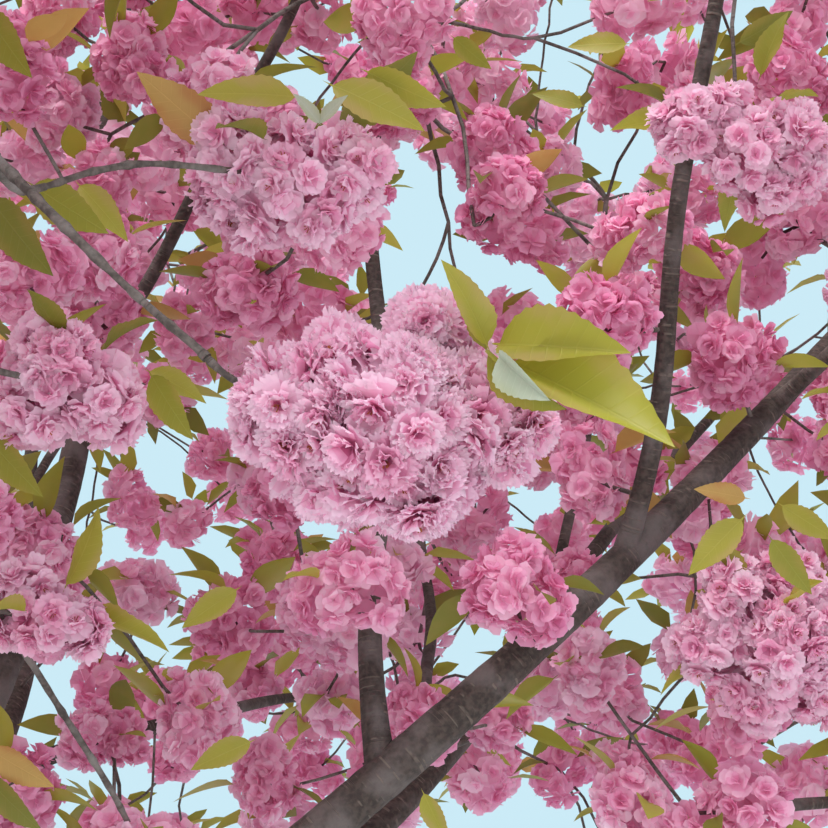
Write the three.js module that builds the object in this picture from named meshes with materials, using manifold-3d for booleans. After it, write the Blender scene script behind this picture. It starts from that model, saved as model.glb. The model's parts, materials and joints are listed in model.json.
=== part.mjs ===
// A double-flowered ornamental cherry in full blossom, about 5 m tall.
// Millimetres, +Z up. The origin is the centre of the flat foot of the trunk, at ground level.
// A short trunk forks into seven boughs, each bough carries side limbs, and every bough and
// limb ends in one mass of blossom: a stem, twigs that branch from it, and sprays of blossom
// with young leaves on the twigs.
import * as THREE from "three";
import { mergeVertices } from "three/addons/utils/BufferGeometryUtils.js";
import Module from "manifold-3d";

const wasm = await Module();
wasm.setup();

const GAP = 0.3;
const MERGE_DISTANCE = 1e-3;
const JOIN_TOLERANCE = 0.05;

// Trunk: round, flared at its foot by five root buttresses, swelling below the fork, and
// domed between the boughs.
const TRUNK_TOP = 1640;
const TRUNK_RADIUS = 106;
const TRUNK_TAPER = 8;
const TRUNK_BOW = 40;
const TRUNK_SIDES = 18;
const TRUNK_RINGS = 10;
const RING_CROWDING = 1.35;
const FLARE_RADIUS = 92;
const FLARE_HEIGHT = 125;
const BUTTRESSES = 5;
const BUTTRESS_DEPTH = 0.2;
const SWELL_START = 1000;
const FORK_SWELL = 16;
const DOME_START = 1500;
const DOME_FLATNESS = 0.9;

// Boughs: height on the trunk, compass angle from +X, how far that angle turns along the
// bough, pitch at the base and at the tip, length and radius at the base.
const BOUGHS = [
  { name: "right", rises: 1420, azimuth: -6, turn: 37, pitch: [39, 49], length: 3000, radius: 46 },
  { name: "right_back", rises: 1300, azimuth: 42, turn: -6, pitch: [38, 50], length: 2950, radius: 40 },
  { name: "back", rises: 1480, azimuth: 90, turn: 18, pitch: [46, 54], length: 2950, radius: 42 },
  { name: "left_back", rises: 1360, azimuth: 142, turn: 12, pitch: [40, 50], length: 2950, radius: 41 },
  { name: "left", rises: 1460, azimuth: 194, turn: -12, pitch: [40, 50], length: 2900, radius: 41 },
  { name: "front", rises: 1340, azimuth: 245, turn: 10, pitch: [42, 56], length: 2600, radius: 40 },
  { name: "leader", rises: 1540, azimuth: 66, turn: 40, pitch: [66, 82], length: 2850, radius: 41 },
];
// Side limbs of each bough: where they leave it, as a share of its length, their compass
// angle, pitch at the base and at the tip, and length.
const SIDE_LIMBS = {
  right: [
    [0.353, 101, 81, 93, 1350],
    [0.545, -71, 55, 63, 1250],
    [0.7, -52, 22, 34, 1000],
    [0.8, 70, 52, 64, 900],
  ],
  right_back: [
    [0.3, 8, 24, 4, 1450],
    [0.52, 96, 46, 58, 1150],
    [0.7, 20, 74, 84, 1000],
  ],
  back: [
    [0.34, 50, 30, 10, 1350],
    [0.5, 146, 44, 54, 1150],
    [0.76, 60, 60, 72, 850],
  ],
  left_back: [
    [0.3, 104, 30, 8, 1350],
    [0.5, 192, 30, 26, 1100],
    [0.76, 100, 60, 70, 850],
  ],
  left: [
    [0.32, 236, 26, 6, 1350],
    [0.52, 142, 50, 62, 1150],
    [0.76, 244, 60, 70, 850],
  ],
  front: [
    [0.6, -18, 30, -18, 720],
    [0.4, 206, 30, 14, 1100],
    [0.76, 322, 62, 72, 950],
  ],
  leader: [
    [0.4, 190, 52, 62, 1200],
    [0.58, 330, 50, 62, 1100],
  ],
};
const STATIONS = 12;
const SWAY = 0.012;
const LIMB_TURN = 10;
const BOUGH_TIP_RADIUS = 14;
const LIMB_TIP_RADIUS = 11;
const LIMB_SHARE = 0.62;
const COLLAR = 0.3;
const COLLAR_REACH = 0.05;
const BOUGH_SIDES = 8;
const BOUGH_RINGS = 10;
const LIMB_SIDES = 5;
const LIMB_RINGS = 6;

// Crown
const CROWN_RADIUS = 2850;
const CROWN_TOP = 5000;
const CROWN_SHOULDER = 3350;
const DOME_ROUNDNESS = 2.6;
const CROWN_FOOT = 1750;
const FOOT_RISE = 400;
const FOOT_WAVE = 120;
const REACH = 920;
const OPENNESS = -1.15;

// Where one stands at the crown's edge and looks up into it, due +Y. The space before that
// place stays clear of blossom, except for the sprays that hang into it.
const EYE = new THREE.Vector3(850, -2450, 1600);
const LOOK_UP = 25;
const CLEARING_BEHIND = 500;
const CLEARING_DEPTH = 2000;
const CLEARING_SPREAD = 0.4;
// Boughs that stay in sight from there, each between two shares of its length
const SIGHT_LINES = [
  ["bough_right", 0.3, 0.85],
  ["limb_right_2", 0, 0.8],
  ["limb_right_1", 0, 0.9],
];
const SIGHT_STEPS = 14;
const SIGHT_SHARE = 0.75;
// Gaps of sky seen from there: degrees to the right of the line of sight and above it, and
// half the width of the gap
const SKY_GAPS = [
  [6.9, 10.6, 1.9],
  [0.8, 7, 1.2],
  [-7.5, -5.7, 1.3],
  [-9.8, -7.6, 1.1],
  [-7.2, 0.4, 0.8],
  [13, -1.8, 1.1],
  [14.6, 12.6, 1.4],
  [-11.8, -12.4, 1],
];
const GAP_SHARE = 0.6;

// Sprays of blossom that hang into that view: centre, width and height
const HANGING_SPRAYS = [
  { centre: [829, -1213, 2166], width: 290, height: 230, detail: 1 },
  { centre: [702, -893, 2638], width: 250, height: 180, detail: 1 },
  { centre: [407, -653, 2479], width: 220, height: 200, detail: 1 },
  { centre: [348, -428, 2234], width: 160, height: 140, detail: 1 },
  { centre: [1328, -544, 2955], width: 250, height: 190, detail: 1 },
  { centre: [1407, -26, 2318], width: 270, height: 260, detail: 1 },
];

// Masses of blossom
const STEM_LENGTH = 200;
const STEM_SIDES = 5;
const KNUCKLE = 1.5;
const KNUCKLE_TURN = 20;
const SPRAY_SEED = 7;
const SPRAY_TRIES = 16000;
const SPRAY_SPACING = 435;
const SPRAY_RADIUS = [155, 190];
const SPRAY_HIGH = 0.9;
const SPRAY_BUMPS = 0.1;
const SPRAY_HOLLOWS = 0.35;
const TOP_ROW = 4;
const SPACE_MARGIN = 1.04;
const EDGE_OVERSHOOT = 1.1;
const NEIGHBOUR_REACH = 620;
const NEIGHBOURS = 2;
const LIMB_CLEARANCE = 8;
const LINE_SAMPLES = 8;
const TWIG_BASE = 6;
const TWIG_GROWTH = 2;
const TWIG_TAPER = 0.8;
const TWIG_SIDES = 3;
const PATH_WEIGHT = 0.4;
const LEAVED_SHARE = 0.5;
const LEAF_LENGTH = 240;
const LEAF_WIDTH = 105;
const LEAF_THICKNESS = 7;
const LEAF_ROOT = 0.55;
const LEAF_PITCH = [12, 50];
const LEAF_ROLL = 25;
const SHAPE_SEED = 31;

const BARK = new THREE.MeshStandardMaterial({ color: 0x5b4a44, roughness: 0.9, metalness: 0 });
const BLOSSOM = new THREE.MeshStandardMaterial({ color: 0xe99dbd, roughness: 0.75, metalness: 0 });

const UP = new THREE.Vector3(0, 0, 1);
const radians = THREE.MathUtils.degToRad;
const degrees = THREE.MathUtils.radToDeg;

// A stream of numbers from 0 to 1 that is the same each time for one seed.
class Seeded {
  constructor(seed) {
    this.state = seed;
  }
  next() {
    this.state = (this.state * 48271) % 2147483647;
    return this.state / 2147483647;
  }
  between(low, high) {
    return low + (high - low) * this.next();
  }
}

// A geometry whose faces share their corners.
function sharedCorners(geometry) {
  const bare = geometry.clone();
  bare.deleteAttribute("normal");
  bare.deleteAttribute("uv");
  return mergeVertices(bare, MERGE_DISTANCE);
}

function solidOf(geometry) {
  const merged = sharedCorners(geometry);
  return new wasm.Manifold(
    new wasm.Mesh({
      numProp: 3,
      vertProperties: new Float32Array(merged.attributes.position.array),
      triVerts: new Uint32Array(merged.index.array),
    }),
  );
}

function geometryOf(solid) {
  const mesh = solid.getMesh();
  const geometry = new THREE.BufferGeometry();
  geometry.setAttribute("position", new THREE.BufferAttribute(mesh.vertProperties, 3));
  geometry.setIndex(new THREE.BufferAttribute(mesh.triVerts, 1));
  const flat = geometry.toNonIndexed();
  flat.computeVertexNormals();
  return flat;
}

// The largest piece of a joined solid, without slivers, so that no loose scrap is left.
function largest(solid) {
  const pieces = solid.simplify(JOIN_TOLERANCE).decompose();
  return pieces.reduce((best, piece) => (piece.volume() > best.volume() ? piece : best));
}

// The direction at a compass angle and pitch, in degrees.
function heading(azimuth, pitch) {
  const a = radians(azimuth);
  const p = radians(pitch);
  return new THREE.Vector3(Math.cos(p) * Math.cos(a), Math.cos(p) * Math.sin(a), Math.sin(p));
}

// The centre line of a bough or limb: it turns and rises evenly, with a slight sway.
function limbPath(start, azimuth, turn, pitch, length) {
  const a = radians(azimuth);
  const side = new THREE.Vector3(-Math.sin(a), Math.cos(a), 0.5);
  const points = [start.clone()];
  const at = start.clone();
  for (let i = 1; i <= STATIONS; i++) {
    const share = (i - 0.5) / STATIONS;
    const rise = pitch[0] + (pitch[1] - pitch[0]) * share;
    at.addScaledVector(heading(azimuth + turn * share, rise), length / STATIONS);
    const sway = SWAY * length * Math.sin((3 * Math.PI * i) / STATIONS);
    points.push(at.clone().addScaledVector(side, sway));
  }
  return points;
}

function pointAlong(points, share) {
  const x = share * STATIONS;
  const i = Math.min(Math.floor(x), STATIONS - 1);
  return points[i].clone().lerp(points[i + 1], x - i);
}

// Every bough and side limb, as a path with a radius at each end.
function planLimbs() {
  const plan = [];
  for (const bough of BOUGHS) {
    const foot = new THREE.Vector3(0, 0, bough.rises);
    const points = limbPath(foot, bough.azimuth, bough.turn, bough.pitch, bough.length);
    plan.push({
      name: "bough_" + bough.name,
      mass: "blossom_" + bough.name,
      points,
      base: bough.radius,
      tip: BOUGH_TIP_RADIUS,
      sides: BOUGH_SIDES,
      rings: BOUGH_RINGS,
    });
    SIDE_LIMBS[bough.name].forEach(([share, azimuth, low, high, length], k) => {
      const turn = k % 2 ? -LIMB_TURN : LIMB_TURN;
      plan.push({
        name: `limb_${bough.name}_${k + 1}`,
        mass: `blossom_${bough.name}_${k + 1}`,
        points: limbPath(pointAlong(points, share), azimuth, turn, [low, high], length),
        base: (bough.radius + (BOUGH_TIP_RADIUS - bough.radius) * share) * LIMB_SHARE,
        tip: LIMB_TIP_RADIUS,
        sides: LIMB_SIDES,
        rings: LIMB_RINGS,
      });
    });
  }
  return plan;
}

function limbRadius(limb, share) {
  const taper = limb.base + (limb.tip - limb.base) * share;
  return taper * (1 + COLLAR * Math.exp(-share / COLLAR_REACH));
}

// A tapering limb: a cylinder whose rings are moved onto its path. extra thickens it all round.
function limbSolid(limb, extra) {
  const { points, sides, rings } = limb;
  const body = new THREE.CylinderGeometry(1, 1, 1, sides, rings);
  const position = body.attributes.position;
  const point = new THREE.Vector3();
  const turn = new THREE.Quaternion();
  for (let v = 0; v < position.count; v++) {
    const share = Math.round((position.getY(v) + 0.5) * rings) / rings;
    const ahead = pointAlong(points, Math.min(share + 0.5 / rings, 1));
    const behind = pointAlong(points, Math.max(share - 0.5 / rings, 0));
    const radius = limbRadius(limb, share) + extra;
    turn.setFromUnitVectors(UP, ahead.sub(behind).normalize());
    point.set(position.getX(v) * radius, -position.getZ(v) * radius, 0);
    point.applyQuaternion(turn).add(pointAlong(points, share));
    position.setXYZ(v, point.x, point.y, point.z);
  }
  return solidOf(body);
}

function trunkRadius(height, angle) {
  const flare = Math.exp(-height / FLARE_HEIGHT);
  const buttress = 1 + BUTTRESS_DEPTH * Math.cos(BUTTRESSES * angle) * Math.sqrt(flare);
  const swell = FORK_SWELL * Math.max(0, (height - SWELL_START) / (DOME_START - SWELL_START));
  const over = Math.max(0, (height - DOME_START) / (TRUNK_TOP - DOME_START));
  const dome = Math.sqrt(1 - DOME_FLATNESS * over * over);
  const stem = TRUNK_RADIUS - TRUNK_TAPER * (height / TRUNK_TOP);
  return (stem + FLARE_RADIUS * flare + swell) * buttress * dome;
}

// The trunk from its flat foot to its dome. extra thickens it all round but its foot.
function trunkSolid(extra) {
  const body = new THREE.CylinderGeometry(1, 1, 1, TRUNK_SIDES, TRUNK_RINGS);
  const position = body.attributes.position;
  for (let v = 0; v < position.count; v++) {
    const height = (TRUNK_TOP + extra) * (position.getY(v) + 0.5) ** RING_CROWDING;
    const onRim = Math.hypot(position.getX(v), position.getZ(v)) > 0.5;
    const angle = Math.atan2(-position.getZ(v), position.getX(v));
    const radius = onRim ? trunkRadius(Math.min(height, TRUNK_TOP), angle) + extra : 0;
    const bow = TRUNK_BOW * Math.sin((Math.PI * height) / TRUNK_TOP);
    position.setXYZ(v, Math.cos(angle) * radius + bow, Math.sin(angle) * radius, height);
  }
  return solidOf(body);
}

// The trunk and limbs, each cut clear of those before it.
function growWood(plan) {
  const wood = [{ name: "trunk", solid: trunkSolid(0), grown: trunkSolid(GAP) }];
  for (const limb of plan) {
    let solid = limbSolid(limb, 0);
    for (const other of wood) solid = solid.subtract(other.grown);
    wood.push({ name: limb.name, solid: largest(solid), grown: limbSolid(limb, GAP) });
  }
  return wood;
}

// The crown's outline: uneven round its edge, domed above and rising outwards below.
function lobes(azimuth, shift) {
  const wide = 0.05 * Math.sin(3 * azimuth + 0.6 + shift);
  const middle = 0.04 * Math.sin(5 * azimuth + 2.1 - shift);
  return 1 + wide + middle + 0.03 * Math.sin(7 * azimuth + 2 * shift);
}

function crownTop(radius, azimuth) {
  const u = radius / (CROWN_RADIUS * lobes(azimuth, 0));
  if (u >= 1) return 0;
  const dome = Math.sqrt(1 - u ** DOME_ROUNDNESS);
  return CROWN_SHOULDER + (CROWN_TOP - CROWN_SHOULDER) * lobes(azimuth, 2) * dome;
}

function crownFoot(radius, azimuth) {
  const u = radius / CROWN_RADIUS;
  return CROWN_FOOT + FOOT_WAVE * Math.sin(4 * azimuth + 1) * u + FOOT_RISE * u * u;
}

// Slow waves through the crown, low where the sky shows through it.
function fullness(point) {
  const x = point.x / 1000;
  const y = point.y / 1000;
  const z = point.z / 1000;
  const across = Math.sin(3.1 * x + 1.3) + Math.sin(3.7 * y + 0.4 * x);
  return across + Math.sin(4.3 * z + 2) + Math.sin(2.3 * (x - y) + 1);
}

// Where sprays may be: near their own limb's tip and clear of all wood and of the view.
class Spaces {
  constructor(plan) {
    this.plan = plan;
    this.look = heading(90, LOOK_UP);
    this.lift = heading(90, LOOK_UP + 90);
    this.stems = plan.map(({ points }) => {
      const along = points[STATIONS].clone().sub(points[STATIONS - 1]).normalize();
      return points[STATIONS].clone().addScaledVector(along, STEM_LENGTH);
    });
    this.sight = SIGHT_LINES.flatMap(([name, low, high]) => {
      const { points } = plan.find((limb) => limb.name === name);
      const steps = Array.from({ length: SIGHT_STEPS }, (_, i) => i / (SIGHT_STEPS - 1));
      return steps.map((s) => pointAlong(points, low + (high - low) * s));
    });
  }

  nearestStem(point) {
    const far = this.stems.map((stem) => stem.distanceTo(point));
    return far.indexOf(Math.min(...far));
  }

  // How far a point lies inside the space of one stem, which ends halfway to the others.
  inside(point, own) {
    const mine = this.stems[own];
    const near = point.distanceToSquared(mine);
    const gaps = this.stems.map((stem, k) =>
      k === own ? Infinity : (point.distanceToSquared(stem) - near) / (2 * stem.distanceTo(mine)),
    );
    return Math.min(...gaps);
  }

  // The gap from a straight line to the nearest limb's bark.
  woodGap(from, to) {
    const nearest = new THREE.Vector3();
    const line = new THREE.Line3();
    let least = Infinity;
    for (let s = 0; s <= LINE_SAMPLES; s++) {
      const point = from.clone().lerp(to, s / LINE_SAMPLES);
      for (const limb of this.plan) {
        for (let i = 0; i < STATIONS; i++) {
          line.set(limb.points[i], limb.points[i + 1]).closestPointToPoint(point, true, nearest);
          const radius = limb.base + (limb.tip - limb.base) * (i / STATIONS);
          least = Math.min(least, nearest.distanceTo(point) - radius);
        }
      }
    }
    return least;
  }

  // Whether a spray would stand in the clearing before the eye or fill a gap of sky.
  inClearing(point, radius) {
    const ahead = point.clone().sub(EYE);
    const depth = ahead.dot(this.look);
    if (depth <= 0) return ahead.length() < CLEARING_BEHIND;
    const right = degrees(Math.atan2(ahead.x, depth));
    const up = degrees(Math.atan2(ahead.dot(this.lift), depth));
    const off = ahead.addScaledVector(this.look, -depth).length();
    if (depth < CLEARING_DEPTH && off < depth * CLEARING_SPREAD + radius) return true;
    const spread = degrees(Math.asin(Math.min(1, (GAP_SHARE * radius) / depth)));
    return SKY_GAPS.some(([a, b, half]) => Math.hypot(right - a, up - b) < half + spread);
  }

  hidesBough(point, radius) {
    return this.sight.some((seen) => {
      const line = seen.clone().sub(EYE);
      const far = line.length();
      const offset = point.clone().sub(EYE);
      const along = offset.dot(line.normalize());
      const off = offset.addScaledVector(line, -along).length();
      return along > 0 && along < far && off < SIGHT_SHARE * radius;
    });
  }
}

// Sprays of blossom, spread evenly through the crown. Each belongs to the nearest stem.
function sowSprays(spaces) {
  const random = new Seeded(SPRAY_SEED);
  const sprays = HANGING_SPRAYS.map(({ centre, width, height, detail }) => {
    const point = new THREE.Vector3(...centre);
    const own = spaces.nearestStem(point);
    return { point, radius: width / 2, high: height / width, detail, own };
  });
  for (let k = 0; k < SPRAY_TRIES; k++) {
    const azimuth = 2 * Math.PI * random.next();
    const out = CROWN_RADIUS * EDGE_OVERSHOOT * Math.sqrt(random.next());
    const share = random.next();
    const radius = random.between(...SPRAY_RADIUS);
    const top = crownTop(out + radius, azimuth) - radius;
    const foot = crownFoot(out, azimuth) + radius;
    if (top <= foot) continue;
    const height = k % TOP_ROW === 0 ? top : foot + (top - foot) * share;
    const point = new THREE.Vector3(out * Math.cos(azimuth), out * Math.sin(azimuth), height);
    if (fullness(point) < OPENNESS) continue;
    if (sprays.some((other) => other.point.distanceTo(point) < SPRAY_SPACING)) continue;
    if (spaces.inClearing(point, radius) || spaces.hidesBough(point, radius)) continue;
    const own = spaces.nearestStem(point);
    if (spaces.inside(point, own) < radius * SPACE_MARGIN) continue;
    const wood = spaces.woodGap(point, point);
    const reach = Math.min(wood, point.distanceTo(spaces.stems[own]));
    if (wood < radius + LIMB_CLEARANCE || reach > REACH - radius) continue;
    sprays.push({ point, radius, high: SPRAY_HIGH, detail: 0, own });
  }
  return sprays.filter(({ point, detail }) => {
    const near = sprays.filter((other) => other.point.distanceTo(point) < NEIGHBOUR_REACH);
    return detail > 0 || near.length > NEIGHBOURS;
  });
}

// Joins the sprays of one stem by twigs: each to the nearest spray or to the stem, counting
// part of the way back, and never through a limb.
function linkTwigs(spaces, own, sprays) {
  const root = { point: spaces.stems[own], way: 0, carried: 0, parent: null };
  const nodes = [root];
  const order = sprays
    .map((spray) => ({ ...spray, away: spray.point.distanceTo(root.point) }))
    .sort((a, b) => a.away - b.away);
  for (const spray of order) {
    const choices = nodes
      .map((node) => ({ node, gap: node.point.distanceTo(spray.point) }))
      .sort((a, b) => a.gap + PATH_WEIGHT * a.node.way - b.gap - PATH_WEIGHT * b.node.way);
    const free = choices.find(
      ({ node }) => spaces.woodGap(node.point, spray.point) > TWIG_BASE + LIMB_CLEARANCE,
    );
    if (!free) continue;
    nodes.push({ ...spray, way: free.node.way + free.gap, carried: 0, parent: free.node });
  }
  for (const node of nodes.slice(1)) {
    for (let up = node; up; up = up.parent) up.carried += 1;
  }
  return nodes;
}

function twigRadius(carried) {
  return TWIG_BASE + TWIG_GROWTH * Math.sqrt(carried);
}

function rodSolid(from, to, base, tip, sides) {
  const along = to.clone().sub(from);
  const rod = new THREE.CylinderGeometry(tip, base, along.length(), sides, 1);
  rod.translate(0, along.length() / 2, 0);
  rod.rotateX(Math.PI / 2);
  rod.applyQuaternion(new THREE.Quaternion().setFromUnitVectors(UP, along.normalize()));
  rod.translate(from.x, from.y, from.z);
  return solidOf(rod);
}

// A lumpy ball of blossom.
function spraySolid({ point, radius, high, detail }, random) {
  const ball = sharedCorners(new THREE.IcosahedronGeometry(1, detail));
  ball.rotateX(2 * Math.PI * random.next());
  ball.rotateZ(2 * Math.PI * random.next());
  const position = ball.attributes.position;
  for (let v = 0; v < position.count; v++) {
    const lump = radius * (1 + SPRAY_BUMPS * (random.next() - SPRAY_HOLLOWS));
    const x = position.getX(v) * lump;
    const y = position.getY(v) * lump;
    position.setXYZ(v, x, y, position.getZ(v) * lump * high);
  }
  ball.translate(point.x, point.y, point.z);
  return solidOf(ball);
}

// One leaf blade of eight faces, its root sunk in a spray.
function leafSolid(root, along, side) {
  const blade = new THREE.OctahedronGeometry(1, 0);
  const face = side.clone().cross(along);
  const position = blade.attributes.position;
  const point = new THREE.Vector3();
  for (let v = 0; v < position.count; v++) {
    point.copy(root);
    point.addScaledVector(along, (position.getX(v) + 1) * LEAF_LENGTH * 0.5);
    point.addScaledVector(side, position.getY(v) * LEAF_WIDTH * 0.5);
    point.addScaledVector(face, position.getZ(v) * LEAF_THICKNESS * 0.5);
    position.setXYZ(v, point.x, point.y, point.z);
  }
  return solidOf(blade);
}

// A leaf that leaves its spray upwards and outwards, or null where it has no room.
function leafOn(node, spaces, own, random) {
  const azimuth = 360 * random.next();
  const along = heading(azimuth, random.between(...LEAF_PITCH));
  const side = heading(azimuth + 90, random.between(-LEAF_ROLL, LEAF_ROLL));
  side.addScaledVector(along, -side.dot(along)).normalize();
  const root = node.point.clone().addScaledVector(along, LEAF_ROOT * node.radius);
  const tip = root.clone().addScaledVector(along, LEAF_LENGTH);
  if (spaces.inside(tip, own) < LEAF_WIDTH / 2) return null;
  if (spaces.woodGap(root, tip) < LEAF_WIDTH / 2 + LIMB_CLEARANCE) return null;
  if (spaces.hidesBough(tip, LEAF_WIDTH)) return null;
  return leafSolid(root, along, side);
}

// One mass of blossom: its stem starts just clear of its limb's tip.
function massSolid(spaces, own, sprays, random) {
  const limb = spaces.plan[own];
  const stem = spaces.stems[own];
  const along = stem.clone().sub(limb.points[STATIONS]).normalize();
  const start = limb.points[STATIONS].clone().addScaledVector(along, GAP);
  const nodes = linkTwigs(spaces, own, sprays);
  const thick = Math.min(limb.tip, twigRadius(nodes.length));
  const knuckle = new THREE.OctahedronGeometry(thick * KNUCKLE, 0);
  knuckle.rotateZ(radians(KNUCKLE_TURN));
  knuckle.translate(stem.x, stem.y, stem.z);
  const pieces = [rodSolid(start, stem, limb.tip, thick, STEM_SIDES), solidOf(knuckle)];
  for (const node of nodes.slice(1)) {
    const base = twigRadius(node.carried);
    pieces.push(rodSolid(node.parent.point, node.point, base, base * TWIG_TAPER, TWIG_SIDES));
    pieces.push(spraySolid(node, random));
    const leaf = random.next() < LEAVED_SHARE ? leafOn(node, spaces, own, random) : null;
    if (leaf) pieces.push(leaf);
  }
  return largest(wasm.Manifold.union(pieces));
}

const tree = new THREE.Group();
tree.name = "cherry_blossom_tree";

function addMesh(name, solid, material) {
  const mesh = new THREE.Mesh(geometryOf(solid), material);
  mesh.name = name;
  tree.add(mesh);
}

const plan = planLimbs();
for (const { name, solid } of growWood(plan)) addMesh(name, solid, BARK);

const spaces = new Spaces(plan);
const sprays = sowSprays(spaces);
const shapes = new Seeded(SHAPE_SEED);
plan.forEach((limb, own) => {
  const mine = sprays.filter((spray) => spray.own === own);
  addMesh(limb.mass, massSolid(spaces, own, mine, shapes), BLOSSOM);
});

export default tree;
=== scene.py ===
"""An ornamental cherry in full blossom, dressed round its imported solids.

The solids give the tree's size, its trunk and limbs, and the space of each mass of blossom.
Here the trunk and limbs get their bark, and each mass becomes twigs, leaves and double flowers
that grow on from the limbs by the same rule. Metres, +Z up, the origin in the trunk's foot.
"""

import json
import logging
import math
from collections.abc import Sequence
from dataclasses import dataclass, field
from enum import IntEnum
from typing import Any, ClassVar

import bpy
import numpy as np
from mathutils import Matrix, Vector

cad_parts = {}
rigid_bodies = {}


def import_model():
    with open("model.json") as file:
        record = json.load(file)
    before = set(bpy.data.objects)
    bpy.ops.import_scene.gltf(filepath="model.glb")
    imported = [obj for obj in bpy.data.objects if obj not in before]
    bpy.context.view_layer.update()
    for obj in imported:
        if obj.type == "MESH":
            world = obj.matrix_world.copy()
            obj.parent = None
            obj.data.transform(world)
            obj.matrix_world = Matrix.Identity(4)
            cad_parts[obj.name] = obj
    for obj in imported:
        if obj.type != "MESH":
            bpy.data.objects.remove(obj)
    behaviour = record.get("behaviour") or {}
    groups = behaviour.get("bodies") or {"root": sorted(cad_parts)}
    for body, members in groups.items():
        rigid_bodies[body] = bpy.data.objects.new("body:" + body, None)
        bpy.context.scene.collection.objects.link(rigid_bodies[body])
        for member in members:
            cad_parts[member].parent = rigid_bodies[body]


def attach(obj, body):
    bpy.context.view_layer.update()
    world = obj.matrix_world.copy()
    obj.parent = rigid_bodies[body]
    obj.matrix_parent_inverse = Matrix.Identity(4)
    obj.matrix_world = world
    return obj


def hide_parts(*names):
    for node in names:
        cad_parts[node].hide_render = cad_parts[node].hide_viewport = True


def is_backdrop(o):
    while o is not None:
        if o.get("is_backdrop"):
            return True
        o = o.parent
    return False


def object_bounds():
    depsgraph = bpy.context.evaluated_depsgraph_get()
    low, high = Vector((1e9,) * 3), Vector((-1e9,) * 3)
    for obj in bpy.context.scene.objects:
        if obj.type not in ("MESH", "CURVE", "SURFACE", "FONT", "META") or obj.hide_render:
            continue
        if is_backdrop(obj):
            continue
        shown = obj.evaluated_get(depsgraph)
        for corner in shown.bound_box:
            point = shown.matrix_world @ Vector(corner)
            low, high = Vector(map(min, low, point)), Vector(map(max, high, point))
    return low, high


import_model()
CAD_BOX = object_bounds()

Array = np.ndarray
Colour = tuple[float, float, float]
Outline = tuple[tuple[tuple[float, float], ...], ...]

log = logging.getLogger("cherry")
BODY = "root"
NEAR_BOUGHS = ("right", "right_back", "front")
TWIG_SEED, FLOWER_SEED, LEAF_SEED = 17, 23, 31
# Half the photograph's width in pixels, and half its angle in degrees
HALF_FRAME = 414
HALF_VIEW = 15
# How many stretches a limb has
STATIONS = 12
UP = np.array([0.0, 0.0, 1.0])


class Detail(IntEnum):
    """How finely a spray is made: at arm's length, a step away, in the view, or elsewhere."""

    NEAREST = 0
    NEAR = 1
    SEEN = 2
    FAR = 3


class Tone(IntEnum):
    """The petals' colours, from the palest to the deepest, and the threads in their midst."""

    BLUSH = 0
    PALE = 1
    PINK = 2
    WARM = 3
    ROSE = 4
    DEEP = 5
    THREAD = 20


class Tint(IntEnum):
    """The leaves' colours."""

    LIME = 0
    GREEN = 1
    OLIVE = 2
    BRONZE = 3
    SILVER = 4


# Growth: the rule by which the limbs, twigs and sprays of the solids were laid out


class Seeded:
    """A stream of numbers from 0 to 1 that is the same each time for one seed."""

    MULTIPLIER = 48271
    MODULUS = 2147483647

    def __init__(self, seed: int) -> None:
        """Starts the stream at its seed."""
        self.state = seed

    def table(self, rows: int, columns: int) -> Array:
        """Draws a table of numbers.

        Args:
            rows: how many rows to draw.
            columns: how many numbers each row has.

        Returns:
            The numbers, row after row.
        """
        numbers = np.empty(rows * columns)
        for i in range(len(numbers)):
            self.state = self.state * self.MULTIPLIER % self.MODULUS
            numbers[i] = self.state / self.MODULUS
        return numbers.reshape(rows, columns)


def heading(azimuth: float, pitch: float) -> Array:
    """Returns the unit vector at a compass angle from +X and a pitch, both in degrees."""
    a, p = math.radians(azimuth), math.radians(pitch)
    return np.array([math.cos(p) * math.cos(a), math.cos(p) * math.sin(a), math.sin(p)])


def lengths(vectors: Array) -> Array:
    """Returns how long vectors are."""
    return np.linalg.norm(vectors, axis=-1)


def unit(vectors: Array) -> Array:
    """Returns vectors at length 1."""
    return vectors / np.maximum(np.linalg.norm(vectors, axis=-1, keepdims=True), 1e-9)


def hermite(start: Array, end: Array, leave: Array, arrive: Array, steps: int) -> Array:
    """Draws a smooth curve between two points.

    Args:
        start: the first point.
        end: the last point.
        leave: the velocity at the start.
        arrive: the velocity at the end.
        steps: how many stretches the curve has.

    Returns:
        The steps + 1 points of the curve.
    """
    t = np.linspace(0, 1, steps + 1)[:, None]
    a = 2 * t**3 - 3 * t**2 + 1
    b = t**3 - 2 * t**2 + t
    return a * start + b * leave + (1 - a) * end + (t**3 - t**2) * arrive


def through(points: Array, steps: int) -> Array:
    """Draws a smooth curve through points.

    Args:
        points: the points.
        steps: how many steps there are between each two.

    Returns:
        The curve's points.
    """
    slopes = np.gradient(points, axis=0)
    parts = [
        hermite(points[i], points[i + 1], slopes[i], slopes[i + 1], steps)[:-1]
        for i in range(len(points) - 1)
    ]
    return np.vstack([*parts, points[-1:]])


@dataclass(frozen=True)
class SideLimb:
    """A side limb: its share of the way along its bough, compass angle, pitches and length."""

    share: float
    azimuth: float
    low: float
    high: float
    length: float


@dataclass(frozen=True)
class Bough:
    """A bough: height on the trunk, compass angle and its turn, pitches, length and radius."""

    name: str
    rises: float
    azimuth: float
    turn: float
    low: float
    high: float
    length: float
    radius: float
    sides: tuple[SideLimb, ...]


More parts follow.
